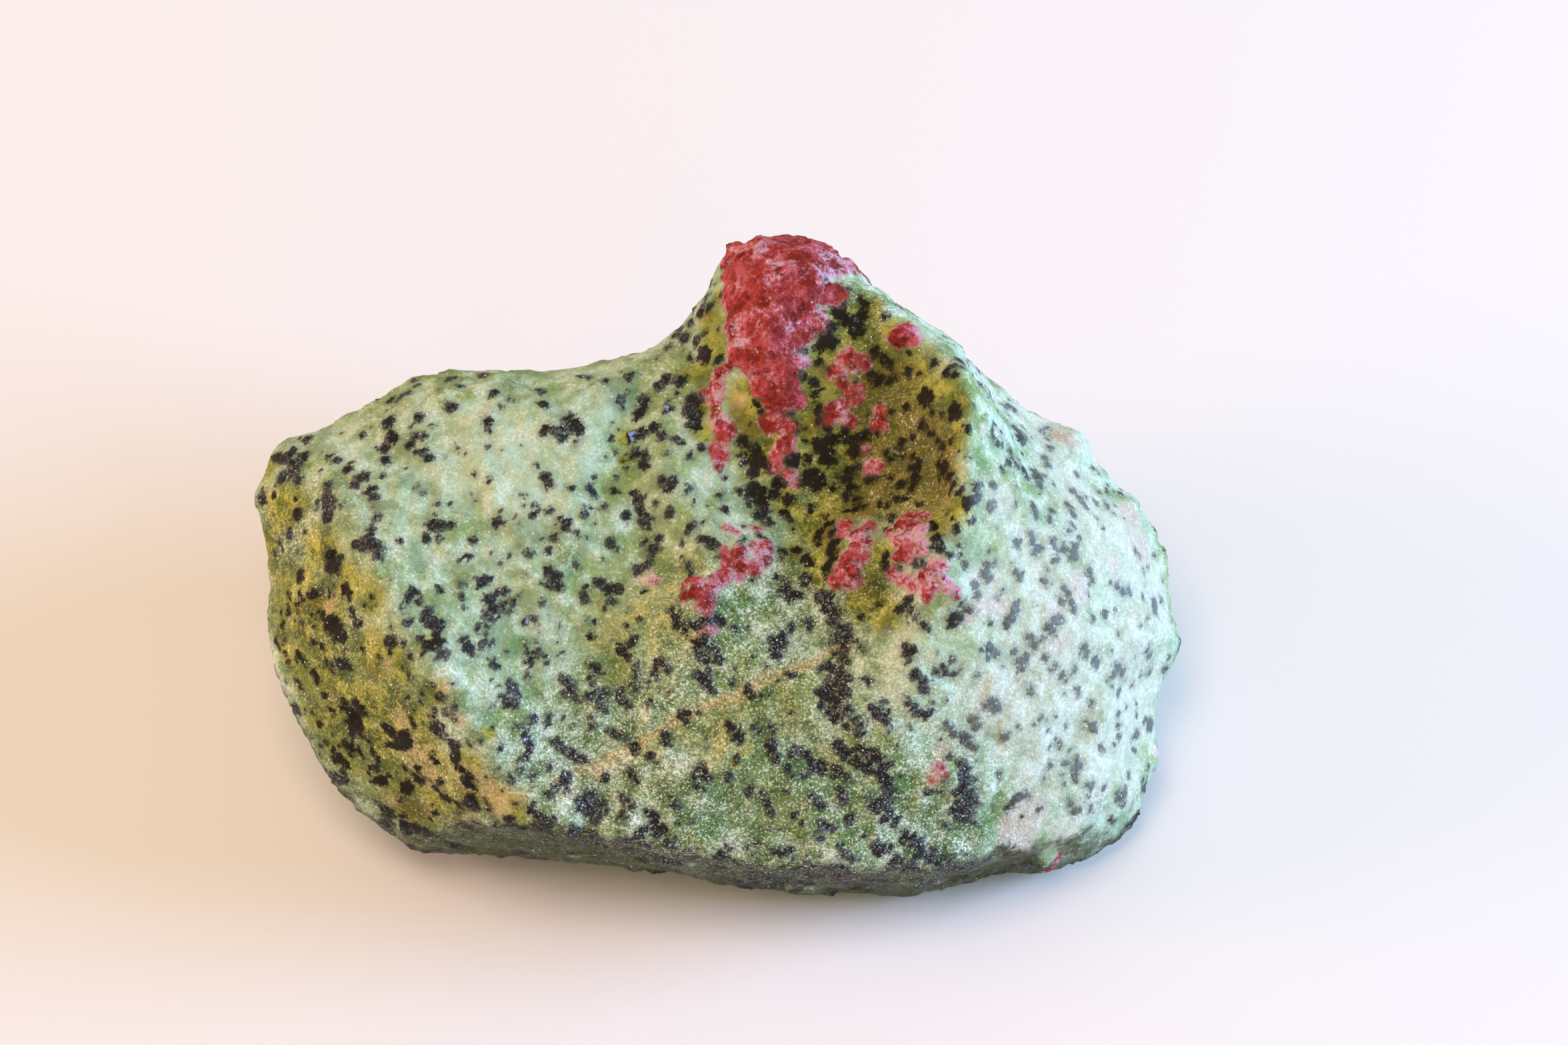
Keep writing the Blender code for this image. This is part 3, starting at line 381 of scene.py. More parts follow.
        (733, 1210, 6), (733, 1217, 4), (728, 1200, 3), (715, 1233, 6), (574, 1209, 7), (580, 1222, 8),
        (587, 1233, 7), (569, 1222, 4), (650, 1030, 5), (658, 1044, 6), (667, 1049, 6), (670, 1069, 7),
        (680, 1080, 6), (683, 1058, 6), (705, 1115, 6), (630, 958, 7), (638, 966, 8), (642, 975, 5),
        (479, 1000, 2), (470, 940, 3),
    ],
    "underedge": [
        (980, 1283, 11), (995, 1290, 13), (1016, 1293, 11), (1051, 1290, 13), (1076, 1303, 14),
        (1101, 1321, 13), (1112, 1331, 10), (1132, 1326, 13), (1162, 1336, 10), (1182, 1308, 11),
        (1202, 1303, 13), (1223, 1316, 14), (1243, 1341, 10), (1273, 1323, 11), (1283, 1333, 10),
        (1314, 1313, 13), (1329, 1323, 11), (1344, 1298, 14), (1364, 1303, 13), (1389, 1328, 13),
        (1415, 1303, 11), (1192, 1323, 10), (1152, 1313, 13), (1243, 1308, 10), (1086, 1288, 13),
        (1263, 1336, 8), (1303, 1328, 10), (818, 1243, 13), (860, 1248, 13), (892, 1253, 11),
        (935, 1262, 13), (905, 1270, 11), (950, 1275, 13), (870, 1262, 10), (960, 1290, 11), (820, 1253, 5),
        (835, 1256, 4), (870, 1255, 5), (876, 1266, 5), (886, 1270, 5), (848, 1274, 6), (857, 1281, 6),
        (920, 1268, 5), (910, 1263, 4), (890, 1285, 4), (1000, 1293, 4), (1045, 1289, 6), (1056, 1292, 5),
        (1100, 1322, 6), (1120, 1310, 5), (1150, 1318, 5), (1172, 1325, 5), (1196, 1336, 6), (1250, 1338, 6),
        (1300, 1343, 6), (1210, 1312, 4), (1190, 1306, 4), (1230, 1308, 4), (1340, 1325, 5), (1075, 1300, 4),
    ],
}
# Painted bluish glints off hornblende cleavage faces
PAINTED_BLUE_GLINT_MARKS = [
    (998, 612, 6), (1004, 620, 5), (948, 652, 7), (951, 663, 5), (985, 650, 4), (1116, 690, 4),
    (1115, 699, 4), (1160, 758, 4), (1008, 722, 4), (792, 926, 5), (790, 933, 4), (787, 1109, 5),
    (1456, 782, 4), (1550, 803, 4), (1688, 887, 5), (1434, 1003, 6), (1238, 1247, 5), (1329, 1236, 4),
    (610, 935, 4), (1286, 480, 5), (1210, 872, 4), (1678, 1192, 3),
]
# Olive stain, partly painted shade where the hollow and the left face turn away from the window light
OLIVE_STAIN_AND_SHADE = [
    (450, 900, 50), (490, 930, 40), (430, 950, 36), (600, 1120, 40), (1075, 520, 26), (1060, 560, 20),
    (1130, 600, 36), (1150, 660, 36), (1180, 700, 30), (1200, 640, 34), (1220, 560, 34), (1245, 520, 24),
    (1250, 600, 36), (1270, 680, 40), (1260, 470, 24), (1300, 460, 24), (1350, 500, 30), (1380, 560, 30),
    (1180, 760, 26), (1140, 740, 20), (1230, 860, 30), (1190, 830, 20), (1330, 840, 34), (1370, 780, 30),
    (1240, 700, 40), (1400, 600, 34), (1430, 660, 26), (1430, 760, 26), (1300, 640, 60), (1345, 600, 60),
    (1395, 650, 50), (1360, 720, 65), (1415, 725, 35), (1395, 785, 35), (1300, 740, 50), (1250, 770, 45),
    (1250, 820, 35), (1320, 560, 50), (1285, 500, 40), (1340, 520, 28), (1425, 590, 28), (1440, 610, 14),
    (1065, 480, 26), (1073, 515, 20), (1078, 445, 16), (1058, 610, 18), (1055, 650, 18), (1120, 590, 24),
    (1115, 640, 24), (1135, 680, 28), (1210, 640, 20), (1210, 600, 18), (1200, 720, 25), (1215, 790, 28),
    (1300, 882, 34), (1330, 925, 32), (1290, 905, 28), (1310, 840, 16), (935, 660, 16), (938, 690, 14),
    (1040, 560, 20), (420, 760, 40), (400, 820, 40), (430, 880, 50), (470, 960, 50), (500, 1030, 60),
    (560, 980, 45), (595, 1000, 36), (560, 1080, 60), (615, 1080, 46), (630, 1150, 56), (570, 1150, 50),
    (700, 1150, 34), (680, 1200, 46), (735, 1195, 34), (620, 1210, 60), (770, 1215, 26), (555, 895, 28),
    (520, 870, 40), (480, 820, 40), (645, 1040, 24), (450, 1000, 40), (480, 1080, 40), (520, 1130, 40),
    (400, 700, 26), (440, 760, 30), (730, 1100, 14), (800, 1245, 20),
]
# Fainter olive stain, partly painted shade
FAINT_OLIVE_STAIN_AND_SHADE = [
    (1060, 835, 40), (1020, 865, 44), (965, 920, 50), (1005, 900, 50), (1025, 960, 46), (940, 965, 50),
    (895, 905, 34), (925, 1005, 44), (885, 960, 34), (1150, 1045, 56), (1080, 1080, 56), (1210, 1055, 50),
    (1020, 1090, 34), (965, 1120, 30), (1135, 1095, 46), (1160, 1190, 40), (1190, 1235, 40),
    (1000, 1250, 26), (1100, 1130, 40), (1270, 1130, 40), (1300, 900, 40), (930, 640, 30), (640, 960, 30),
    (1320, 1170, 36), (1460, 800, 20), (1490, 820, 20),
]
VIVID = [
    (560, 905, 26), (850, 850, 34), (735, 1085, 24), (1180, 1170, 50), (1120, 1150, 50), (1210, 1185, 50),
    (1255, 1200, 40), (1150, 1245, 50), (1085, 1200, 50), (1430, 1255, 56), (1475, 1245, 40),
    (1350, 1105, 46), (1360, 1180, 40), (1415, 940, 22), (1537, 680, 12), (1572, 778, 14), (1060, 1230, 40),
    (950, 590, 16), (770, 575, 30), (1300, 1250, 46), (1120, 905, 28), (1100, 960, 28), (1480, 700, 22),
    (890, 1110, 22), (780, 970, 26), (1270, 1160, 40), (1560, 780, 10), (1020, 1250, 26),
]
# Whitish frost, partly painted light on faces turned to the window light, on the shelf and the right lobe
PALE_AND_LIT = [
    (885, 690, 34), (905, 620, 28), (760, 700, 80), (700, 700, 56), (830, 750, 46), (700, 620, 30),
    (790, 650, 40), (670, 1005, 30), (735, 1035, 34), (835, 1000, 34), (1450, 520, 40), (1400, 975, 50),
    (1360, 960, 36), (1420, 1030, 60), (1500, 1150, 46), (1650, 1230, 46), (1350, 1025, 40), (1200, 975, 26),
    (1160, 845, 18), (1165, 960, 34), (1158, 852, 20), (1140, 884, 18), (1090, 890, 13), (1140, 830, 14),
    (1300, 420, 20), (1340, 465, 20), (1395, 505, 26), (820, 930, 26), (1390, 810, 10), (1210, 900, 12),
    (1240, 400, 10), (1380, 1070, 44), (1420, 1110, 36), (1340, 1085, 26), (1400, 470, 22), (1430, 500, 22),
    (1460, 535, 24), (1490, 560, 28), (1360, 440, 18), (1320, 410, 16),
]
# Painted warm shade: the hollow and the left face, lit by the warm light alone, made darker and browner
PAINTED_WARM_SHADE_MARKS = [
    (1330, 620, 50), (1390, 640, 50), (1350, 700, 60), (1400, 740, 50), (1300, 760, 50), (1250, 800, 40),
    (1340, 560, 40), (1415, 690, 40), (1290, 560, 30), (1230, 560, 24), (1100, 620, 30), (1090, 560, 20),
    (1060, 470, 20), (1210, 640, 24), (1200, 720, 24), (1130, 650, 20), (1300, 690, 50), (1310, 880, 30),
    (620, 1215, 40), (700, 1225, 30), (480, 900, 24), (560, 1010, 20),
]
CHALKY = [
    (1500, 560, 50), (1560, 640, 60), (1600, 720, 80), (1500, 750, 50), (1650, 800, 80), (1560, 850, 80),
    (1700, 850, 80), (1480, 880, 46), (1600, 950, 90), (1700, 980, 80), (1500, 1050, 80), (1600, 1060, 90),
    (1680, 1100, 80), (1560, 1150, 60), (1650, 1180, 50), (1740, 900, 60), (1720, 1050, 60),
    (1600, 1240, 40), (1700, 1190, 30),
]
CRISP = [
    (1000, 1180, 150), (1200, 1180, 150), (1350, 1200, 120), (1180, 1040, 120), (1000, 1040, 110),
    (850, 1150, 100), (1050, 920, 90), (1180, 900, 80), (560, 1100, 140), (480, 950, 120), (650, 1170, 110),
    (430, 800, 90), (1340, 640, 90), (1380, 740, 70), (1230, 740, 70), (1290, 480, 60), (1300, 880, 60),
    (1180, 1290, 110), (1400, 1280, 90), (960, 1260, 90),
]
ROSE = [
    (1690, 775, 34), (1710, 825, 38), (1620, 882, 32), (1590, 968, 20), (1500, 908, 24), (1470, 908, 12),
    (1530, 1228, 30), (1528, 1275, 20), (1412, 1125, 18), (1735, 1125, 18), (1670, 845, 18), (1450, 925, 16),
    (1560, 1215, 14), (1570, 665, 12), (1405, 1160, 20), (1530, 1250, 40), (1545, 1215, 26), (968, 864, 22),
    (1475, 645, 14), (1060, 960, 8), (1590, 650, 18), (1615, 665, 20), (1640, 685, 18), (1585, 915, 20),
    (1410, 1345, 12),
]
TAN = [
    (620, 1125, 34), (645, 1170, 36), (600, 1078, 20), (700, 1160, 30), (735, 1185, 28), (785, 1195, 20),
    (850, 1178, 24), (900, 1155, 20), (590, 1200, 16), (665, 1030, 16), (500, 900, 18), (490, 915, 14),
    (1490, 615, 9), (1010, 1080, 16), (690, 1080, 16), (1040, 960, 12), (750, 1210, 22), (1110, 600, 16),
    (580, 1000, 16), (1360, 890, 12),
]
FISSURE = [
    (860, 1158), (915, 1140), (940, 1128), (975, 1105), (1010, 1085), (1050, 1063), (1090, 1050),
    (1120, 1036), (1160, 1012), (1200, 1002), (1225, 990), (1245, 979), (1275, 965),
]


# ---------------------------------------------------------------- noise, the same on every run

PLACE_STIR = np.array([374761393, 668265263, 1274126177])
SEED_STIR = 961748927
STIRS = ((13, 1103515245, 12345), (15, 2246822519, 0))  # shift, factor and what is added
LOW_BITS = 0xFFFFFFFF


def eased(share):
    """0 at 0, 1 at 1, and level at both ends."""
    return share * share * (3 - 2 * share)


def ramp(value, low, high):
    """0 below low, 1 above high, and smooth between them."""
    return eased(np.clip((value - low) / (high - low), 0, 1))


def noise_numbers(cell, seed):
    """Three even random numbers from 0 to 1 for each whole-number cell."""
    found = []
    for turn in range(3):
        n = (cell.astype(np.int64) @ PLACE_STIR + (seed * 3 + turn) * SEED_STIR) & LOW_BITS
        for shift, factor, extra in STIRS:
            n = ((n ^ (n >> shift)) * factor + extra) & LOW_BITS
        found.append(((n ^ (n >> 16)) & 0xFFFFFF) / 0xFFFFFF)
    return np.stack(found, 1)


def smooth_noise(at, width, seed):
    """Soft noise from -1 to 1 whose lumps are about this width."""
    low = np.floor(at / width)
    part = eased(at / width - low)
    total = np.zeros(len(at))
    for corner in np.ndindex(2, 2, 2):
        share = np.prod(np.where(corner, part, 1 - part), 1)
        total += share * noise_numbers(low + corner, seed)[:, 0]
    return total * 2 - 1


def flats(at, width, seed):
    """Height over a field of flats of about this width, each tipped its own way, in widths."""
    base = np.floor(at / width)
    best = np.full(len(at), np.inf)
    middle = np.zeros_like(at)
    tilt = np.zeros_like(at)
    for step in np.ndindex(3, 3, 3):
        cell = base + np.array(step) - 1
        numbers = noise_numbers(cell, seed)
        centre = (cell + numbers) * width
        far = ((at - centre) ** 2).sum(1)
        nearer = far < best
        best[nearer] = far[nearer]
        middle[nearer] = centre[nearer]
        tilt[nearer] = numbers[nearer, ::-1] * 2 - 1
    return ((at - middle) / width * tilt).sum(1)


# ---------------------------------------------------------------- the stone's fine mesh


def fine_mesh():
    """The solid on an even fine mesh."""
    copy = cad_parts[STONE].copy()
    copy.data = copy.data.copy()
    copy.parent = None
    bpy.context.scene.collection.objects.link(copy)
    remesh = copy.modifiers.new("fine mesh", "REMESH")
    remesh.mode = "VOXEL"
    remesh.voxel_size = FINE * MM
    bpy.context.view_layer.update()
    mesh = bpy.data.meshes.new_from_object(copy.evaluated_get(bpy.context.evaluated_depsgraph_get()))
    bpy.data.objects.remove(copy)
    return mesh


def numbers_of(points, name):
    flat = np.empty(len(points) * 3)
    points.foreach_get(name, flat)
    return flat.reshape(-1, 3)


class Surface:
    """The stone's points as numbers, in millimetres, with what is needed to smooth and move them."""

    def __init__(self, mesh):
        self.mesh = mesh
        self.at = numbers_of(mesh.vertices, "co") / MM
        ends = np.empty(len(mesh.edges) * 2, int)
        mesh.edges.foreach_get("vertices", ends)
        self.ends = ends.reshape(-1, 2)
        self.joined = np.bincount(self.ends.ravel(), minlength=len(self.at))
        self.floor = self.at[:, 2] < ON_FLOOR

    def write(self):
        self.mesh.vertices.foreach_set("co", (self.at * MM).ravel())
        self.mesh.update()

    def normals(self):
        self.write()
        return numbers_of(self.mesh.vertices, "normal")

    def neighbours_mean(self):
        total = np.zeros_like(self.at)
        for here, there in (self.ends.T, self.ends.T[::-1]):
            for axis in range(3):
                total[:, axis] += np.bincount(here, weights=self.at[there, axis], minlength=len(total))
        return total / self.joined[:, None]

    def settle(self):
        """Puts the points of the foot back on the floor."""
        self.at[self.floor, 2] = 0

    def ease(self, passes):
        """Takes the solid's facets out of the fine mesh."""
        for _ in range(passes):
            self.at += EASING * (self.neighbours_mean() - self.at)
            self.settle()

    def keep_in_box(self):
        low, high = (np.array(corner) / MM for corner in CAD_BOX)
        self.at = np.clip(self.at, low, high)


# ---------------------------------------------------------------- grains, tints and painted light and shade on the stone


def on_surface(tree, x, y):
    """Where the camera's ray through a pixel of the frame meets the stone or just misses it, or None."""
    across = (x - FRAME_WIDE / 2) / FRAME_WIDE * SENSOR / LENS
    up = (FRAME_HIGH / 2 - y) / FRAME_WIDE * SENSOR / LENS
    ray = across * SECTION_RIGHT + up * SECTION_UP - SECTION_OUT
    hit = tree.ray_cast(Vector(EYE), Vector(ray).normalized())[0]
    if hit is None:
        hit = tree.find_nearest(Vector(EYE + AWAY * ray), MISSED_BY)[0]
    return None if hit is None else np.array(hit)


def seat(tree, marks):
    """(place on the stone, radius in mm) of each mark that meets the stone."""
    places = [(on_surface(tree, x, y), radius / PIXELS_PER_MM) for x, y, radius in marks]
    return [(place, radius) for place, radius in places if place is not None]


class Grains:
    """Angular grains in the stone. depth says how deep in one each point lies, in mm, below 0 outside."""

    REACH = 1.6  # mm, how far outside a grain its depth is still told
    SIDES = 9
    STRETCH = (0.8, 1.25)  # how far in and out of round the sides lie
    ROUNDNESS = 0.75  # keeps the corners from running far out
    FAR = 1.3  # radii, where the farthest corner can lie

    def __init__(self, at, tree, seed):
        self.at, self.tree = at, tree
        self.depth = np.full(len(at), -self.REACH)
        self.random = np.random.default_rng(seed)

    def add(self, middle, radius):
        sides = self.random.normal(size=(self.SIDES, 3))
        sides /= np.linalg.norm(sides, axis=1)[:, None]
        sides *= self.random.uniform(*self.STRETCH, (self.SIDES, 1))
        near = self.tree.find_range(Vector(middle), radius * self.FAR + self.REACH)
        if near:
            index = np.array([i for _, i, _ in near])
            away = self.at[index] - middle
            reach = np.maximum((away @ sides.T).max(1), self.ROUNDNESS * np.linalg.norm(away, axis=1))
            self.depth[index] = np.maximum(self.depth[index], radius - reach)

    def add_all(self, seated):
        for middle, radius in seated:
            self.add(middle, radius)


def points_tree(at):
    tree = KDTree(len(at))
    for i, point in enumerate(at):
        tree.insert(point, i)
    tree.balance()
    return tree


def sow(grains, wanted, count, crowd_width, crowding, radii, seed):
    """Sows grains in crowds over the wanted points, most of them near the lower of the two radii."""
    random = np.random.default_rng(seed)
    crowd = smooth_noise(grains.at, crowd_width, seed)
    small, large = radii
    for i in random.integers(0, len(grains.at), count):
        if wanted[i] and crowd[i] > random.uniform(*crowding):
            grains.add(grains.at[i], small + (large - small) * random.random() ** 2)


def sow_crusts(grains, crusts, seed):
    """Ruby crusts on the far sides: each is a handful of grains round a place, given in mm."""
    random = np.random.default_rng(seed)
    for place, reach in crusts:
        for _ in range(CRUST_GRAINS):
            nearest = grains.tree.find(Vector(np.array(place) + random.normal(0, reach / 2, 3)))[0]
            grains.add(np.array(nearest), random.uniform(*CRUST_RADII))


def field(at, seated):
    """A soft field: near 1 in the middle of the seated marks and 0 well away from them."""
    rest = np.ones(len(at))
    for middle, radius in seated:
        rest *= 1 - MARK_STRENGTH * np.exp(-((at - middle) ** 2).sum(1) / radius ** 2)
    return 1 - rest


def off_line(at, line):
    """Distance of each point from a line of points, in millimetres."""
    best = np.full(len(at), np.inf)
    for a, b in zip(line, line[1:]):
        along = b - a
        t = np.clip((at - a) @ along / (along @ along), 0, 1)
        best = np.minimum(best, np.linalg.norm(at - a - t[:, None] * along, axis=1))
    return best


# ---------------------------------------------------------------- shader sums as Python


def linear(red, green, blue):
    """A colour given as screen values from 0 to 255, as the shader wants it."""
    def one(value):
        value /= 255
        return value / 12.92 if value <= 0.04045 else ((value + 0.055) / 1.055) ** 2.4
    return (one(red), one(green), one(blue), 1.0)


class Wire:
    """A socket that sums like a number: each operator adds its Math node."""

    def __init__(self, finish, socket):
        self.finish, self.socket = finish, socket

    def maths(self, operation, *values):
        return self.finish.node("ShaderNodeMath", {"operation": operation}, dict(enumerate(values)))

    def __add__(self, other):
        return self.maths("ADD", self, other)

    def __sub__(self, other):
        return self.maths("SUBTRACT", self, other)

    def __rsub__(self, other):
        return self.maths("SUBTRACT", other, self)

    def __mul__(self, other):
        return self.maths("MULTIPLY", self, other)

    __radd__ = __add__
    __rmul__ = __mul__

    def at_least(self, other):
        return self.maths("MAXIMUM", self, other)

    def within(self, low, high):
        """0 at low, 1 at high, and smooth between them."""
        settings = {"interpolation_type": "SMOOTHSTEP"}
        return self.finish.node("ShaderNodeMapRange", settings, {0: self, 1: low, 2: high})


class Finish:
    """A material being made. Its nodes all come from node()."""

    def __init__(self, name):
        self.material = bpy.data.materials.new(name)
        self.material.use_nodes = True
        self.tree = self.material.node_tree
        self.shader = self.tree.nodes["Principled BSDF"]
        self.place = self.node("ShaderNodeTexCoord", {}, {}, "Object")

    def node(self, kind, settings, values, output=0):
        made = self.tree.nodes.new(kind)
        for name, setting in settings.items():
            setattr(made, name, setting)
        for name, value in values.items():
            self.give(made.inputs[name], value)
        return Wire(self, made.outputs[output])

    def give(self, socket, value):
        if isinstance(value, Wire):
            self.tree.links.new(value.socket, socket)
        else:
            socket.default_value = value

    def set(self, name, value):
        self.give(self.shader.inputs[name], value)

    def mark(self, name):
        return self.node("ShaderNodeAttribute", {"attribute_name": name}, {}, "Fac")

    def noise(self, width, detail, rough, offset):
        """Soft noise about 0 whose lumps are this many millimetres wide."""
        values = {"Scale": 1 / (width * MM), "Detail": detail, "Roughness": rough, "W": offset}
        values["Vector"] = self.place
        return self.node("ShaderNodeTexNoise", {"noise_dimensions": "4D"}, values) - 0.5

    def cells(self, width, output):
        """Cells this many millimetres wide: each one's own Color, or the Distance to its middle."""
        values = {"Vector": self.place, "Scale": 1 / (width * MM)}
        return self.node("ShaderNodeTexVoronoi", {}, values, output)

    def part(self, colour, index):
        return self.node("ShaderNodeSeparateColor", {}, {0: colour}, index)

    def mix(self, share, first, second, blend="MIX"):
        settings = {"data_type": "RGBA", "blend_type": blend}
        return self.node("ShaderNodeMix", settings, {0: share, 6: first, 7: second}, 2)

    def shade(self, colour, strength):
        """The colour made darker or lighter by a number."""
        grey = self.node("ShaderNodeCombineColor", {}, {0: strength, 1: strength, 2: strength})
        return self.mix(1.0, colour, grey, "MULTIPLY")


# ---------------------------------------------------------------- finishes

MINT = linear(182, 208, 175)
MILK = linear(210, 232, 208)
CHALK = linear(222, 220, 202)
SUGAR = linear(246, 250, 242)
LEAF = linear(150, 176, 112)
MOSS = linear(92, 118, 62)
CHROME_GREEN = linear(96, 142, 80)
SMOKE = linear(104, 112, 98)
OLIVE_LIGHT = linear(194, 192, 92)
OLIVE_MIDDLE = linear(140, 148, 48)
OLIVE_DARK = linear(88, 92, 24)
# Painted warm shade
PAINTED_WARM_SHADE = linear(112, 84, 4)
HORNBLENDE = linear(28, 28, 30)
HORNBLENDE_BROWN = linear(24, 18, 9)
# Grey on hornblende: partly dust, partly painted sheen
HORNBLENDE_DUST_AND_SHEEN = linear(116, 118, 120)
HORNBLENDE_HAZED = linear(146, 152, 146)
PAINTED_GLINT_BLUE = linear(150, 178, 230)
RUBY_SHADE = linear(128, 34, 26)
RUBY_BRICK = linear(172, 60, 58)
RUBY_ROSE = linear(206, 102, 118)
# Ruby frost, partly a painted highlight
RUBY_FROST_AND_HIGHLIGHT = linear(224, 184, 208)
ROSE_GREY = linear(216, 200, 186)
TAN_STAIN = linear(210, 190, 136)
# Painted shade with some dirt, for faces turned under the stone
SHADE_AND_DIRT_UNDER = linear(48, 42, 26)
# White of the painted glints
PAINTED_GLINT_WHITE = linear(250, 252, 255)
PAPER = linear(243, 241, 244)


def stone_finish():
    f = Finish("zoisite_with_ruby")
    names = "black ruby blue frosted olive amber vivid pale chalky rose tan umber crisp"
    black, ruby, blue, frosted, olive, amber, vivid, pale, chalky, rose, tan, umber, crisp = map(
        f.mark, names.split()
    )
    # Noise from clouds 7 mm wide down to grit of 0.2 mm, then crystals with a tone each
    clouds, patches = f.noise(7.0, 4, 0.55, 5.0), f.noise(2.6, 4, 0.6, 3.0)
    lumps, fine, grit = f.noise(1.3, 3, 0.6, 2.0), f.noise(0.55, 3, 0.65, 0.0), f.noise(0.2, 2, 0.6, 1.0)
    coarse, crystals = f.part(f.cells(0.5, "Color"), 0) - 0.5, f.cells(0.24, "Color")
    tone, hue, dust = f.part(crystals, 0) - 0.5, f.part(crystals, 1), f.part(f.cells(0.15, "Color"), 0)
    grain = coarse * 0.24 + tone * 0.36 + fine * 0.5 + grit * 0.4

    # Green zoisite, from moss to milk
    green = f.mix(clouds.within(-0.14, 0.10), LEAF, MINT)
    green = f.mix(patches.within(0.0, -0.12) * (0.4 + crisp * 0.4), green, MOSS)
    green = f.mix(patches.within(0.0, 0.12) * 0.75, green, MILK)
    green = f.mix((vivid + lumps * 0.9).within(0.25, 1.0) * 0.7, green, CHROME_GREEN)
    # Paler green at these marks: partly whitish frost, partly painted light
    green = f.mix((pale + lumps * 0.8).within(0.15, 1.0) * 0.7, green, MILK)
    green = f.mix((chalky + patches * 0.9).within(0.12, 0.95) * 0.7, green, CHALK)

    # Olive stain over it, partly painted shade on the hollow and the left face, which turn from the window
    # light, and painted warm shade in the hollow
    # The dark and light olive tones stand partly for olive in shade and in light, spread by noise
    yellow = f.mix((patches + fine * 0.3).within(-0.14, 0.02), OLIVE_DARK, OLIVE_MIDDLE)
    sunlit = lumps * 0.4 + patches * 0.4 + fine * 0.2 + tone * 0.04
    yellow = f.mix(sunlit.within(-0.05, 0.05) * 0.9, yellow, OLIVE_LIGHT)
    yellow = f.mix(clouds.within(0.04, -0.08) * 0.5, yellow, MOSS)
    # Painted warm shade, darker and browner, at its marks
    yellow = f.mix((amber + patches * 1.2).within(0.2, 1.0) * 0.62, yellow, PAINTED_WARM_SHADE)
    stain_and_shade = (olive + lumps * 0.8 + patches).within(0.08, 0.85)
    matrix = f.mix(stain_and_shade, green, yellow)
    matrix = f.mix((tan + lumps * 0.6 + fine * 0.5).within(0.2, 0.9) * 0.75, matrix, TAN_STAIN)
    matrix = f.mix((rose + lumps * 0.8).within(0.25, 0.80) * 0.8, matrix, ROSE_GREY)
    beside = (black + lumps * 1.4 + patches * 1.6).within(-0.7, 0.2)
    matrix = f.mix(beside * (0.32 + chalky * 0.15 - stain_and_shade * 0.25), matrix, SMOKE)

    # Sugary grain, light and dark; in the crisp places the specks are partly painted glints and painted
    # shade between the grains
    sugar = tone * 0.6 + dust * 0.4 + patches * 1.6 + lumps * 1.2 + crisp * 0.06 - stain_and_shade * 0.26
    matrix = f.mix(sugar.within(0.40, 0.60) * (0.34 + crisp * 0.30), matrix, SUGAR)
    # Dark crumbs, partly painted shade between the grains
    crumbs_and_gap_shade = (sugar - crisp * 0.1).within(0.04, -0.16) * crisp * 0.4
    matrix = f.mix(crumbs_and_gap_shade, matrix, f.mix(hue, HORNBLENDE_BROWN, MOSS))
    # Painted shade with some dirt on the faces turned under the stone, broken up by noise
    matrix = f.mix((umber + lumps * 1.4 + fine * 1.4).within(0.0, 1.0) * 0.84, matrix, SHADE_AND_DIRT_UNDER)
    matrix = f.shade(matrix, 0.95 + grain * (0.55 + crisp * 0.9) * (1 - stain_and_shade * 0.45))
    # White specks, partly white grains and partly painted glints
    matrix = f.mix(dust.within(0.84, 0.94) * crisp * (1 - stain_and_shade * 0.6) * 0.8, matrix, SUGAR)
    matrix = f.mix(dust.within(0.16, 0.06) * crisp * 0.6, matrix, MOSS)

    # Hornblende
    size = patches * 0.9 - 0.13 + (crisp * 0.6).at_least(olive - amber * 0.6) * 0.16
    spot = black + size + fine * 1.3 + coarse * 0.20 + tone * 0.16
    is_black = (spot * (1 - amber * 0.4)).within(-0.20, 0.14)
    dark = f.mix(stain_and_shade, HORNBLENDE, HORNBLENDE_BROWN)
    # Grey on the hornblende facets: partly dust, partly painted sheen of reflected light
    dust_and_sheen = (tone + coarse) * 0.25 + fine * 0.9 + lumps * 0.8 - stain_and_shade * 0.20
    dark = f.mix(dust_and_sheen.within(-0.01, 0.31) * 0.75, dark, HORNBLENDE_DUST_AND_SHEEN)
    dark = f.mix(chalky.within(0.0, 0.8) * 0.45, dark, HORNBLENDE_HAZED)
    # Painted white glints on the hornblende in the crisp places
    dark = f.mix(dust.within(0.84, 0.94) * crisp * (1 - stain_and_shade) * 0.4, dark, PAINTED_GLINT_WHITE)
    # Painted bluish glints off hornblende cleavage faces
    dark = f.mix((blue + fine * 0.8).within(0.05, 0.25) * 0.9, dark, PAINTED_GLINT_BLUE)
    look = f.mix(is_black * (1 - ruby.within(0.0, 0.4) * 0.85), matrix, dark)

    # Ruby, knobbly and frosted, with painted light and shade on its lumps
    is_ruby = (ruby + 0.12 + fine + lumps * 0.8 + tone * 0.2).within(-0.30, 0.22)
    # knob is lighter in each cell's middle and darker at its edges: RUBY_SHADE paints the shade in the
    # crevices, RUBY_ROSE the light on the lump tops
    knob = lumps * 1.5 + fine * 0.6 + patches * 0.8 + (0.4 - f.cells(2.1, "Distance")) * 0.3
    red = f.mix(knob.within(-0.26, 0.02), RUBY_SHADE, RUBY_BRICK)
    red = f.mix((knob + frosted * 0.10).within(-0.04, 0.22) * 0.75, red, RUBY_ROSE)
    rim = (0.5 - ruby).at_least(0) * 0.35
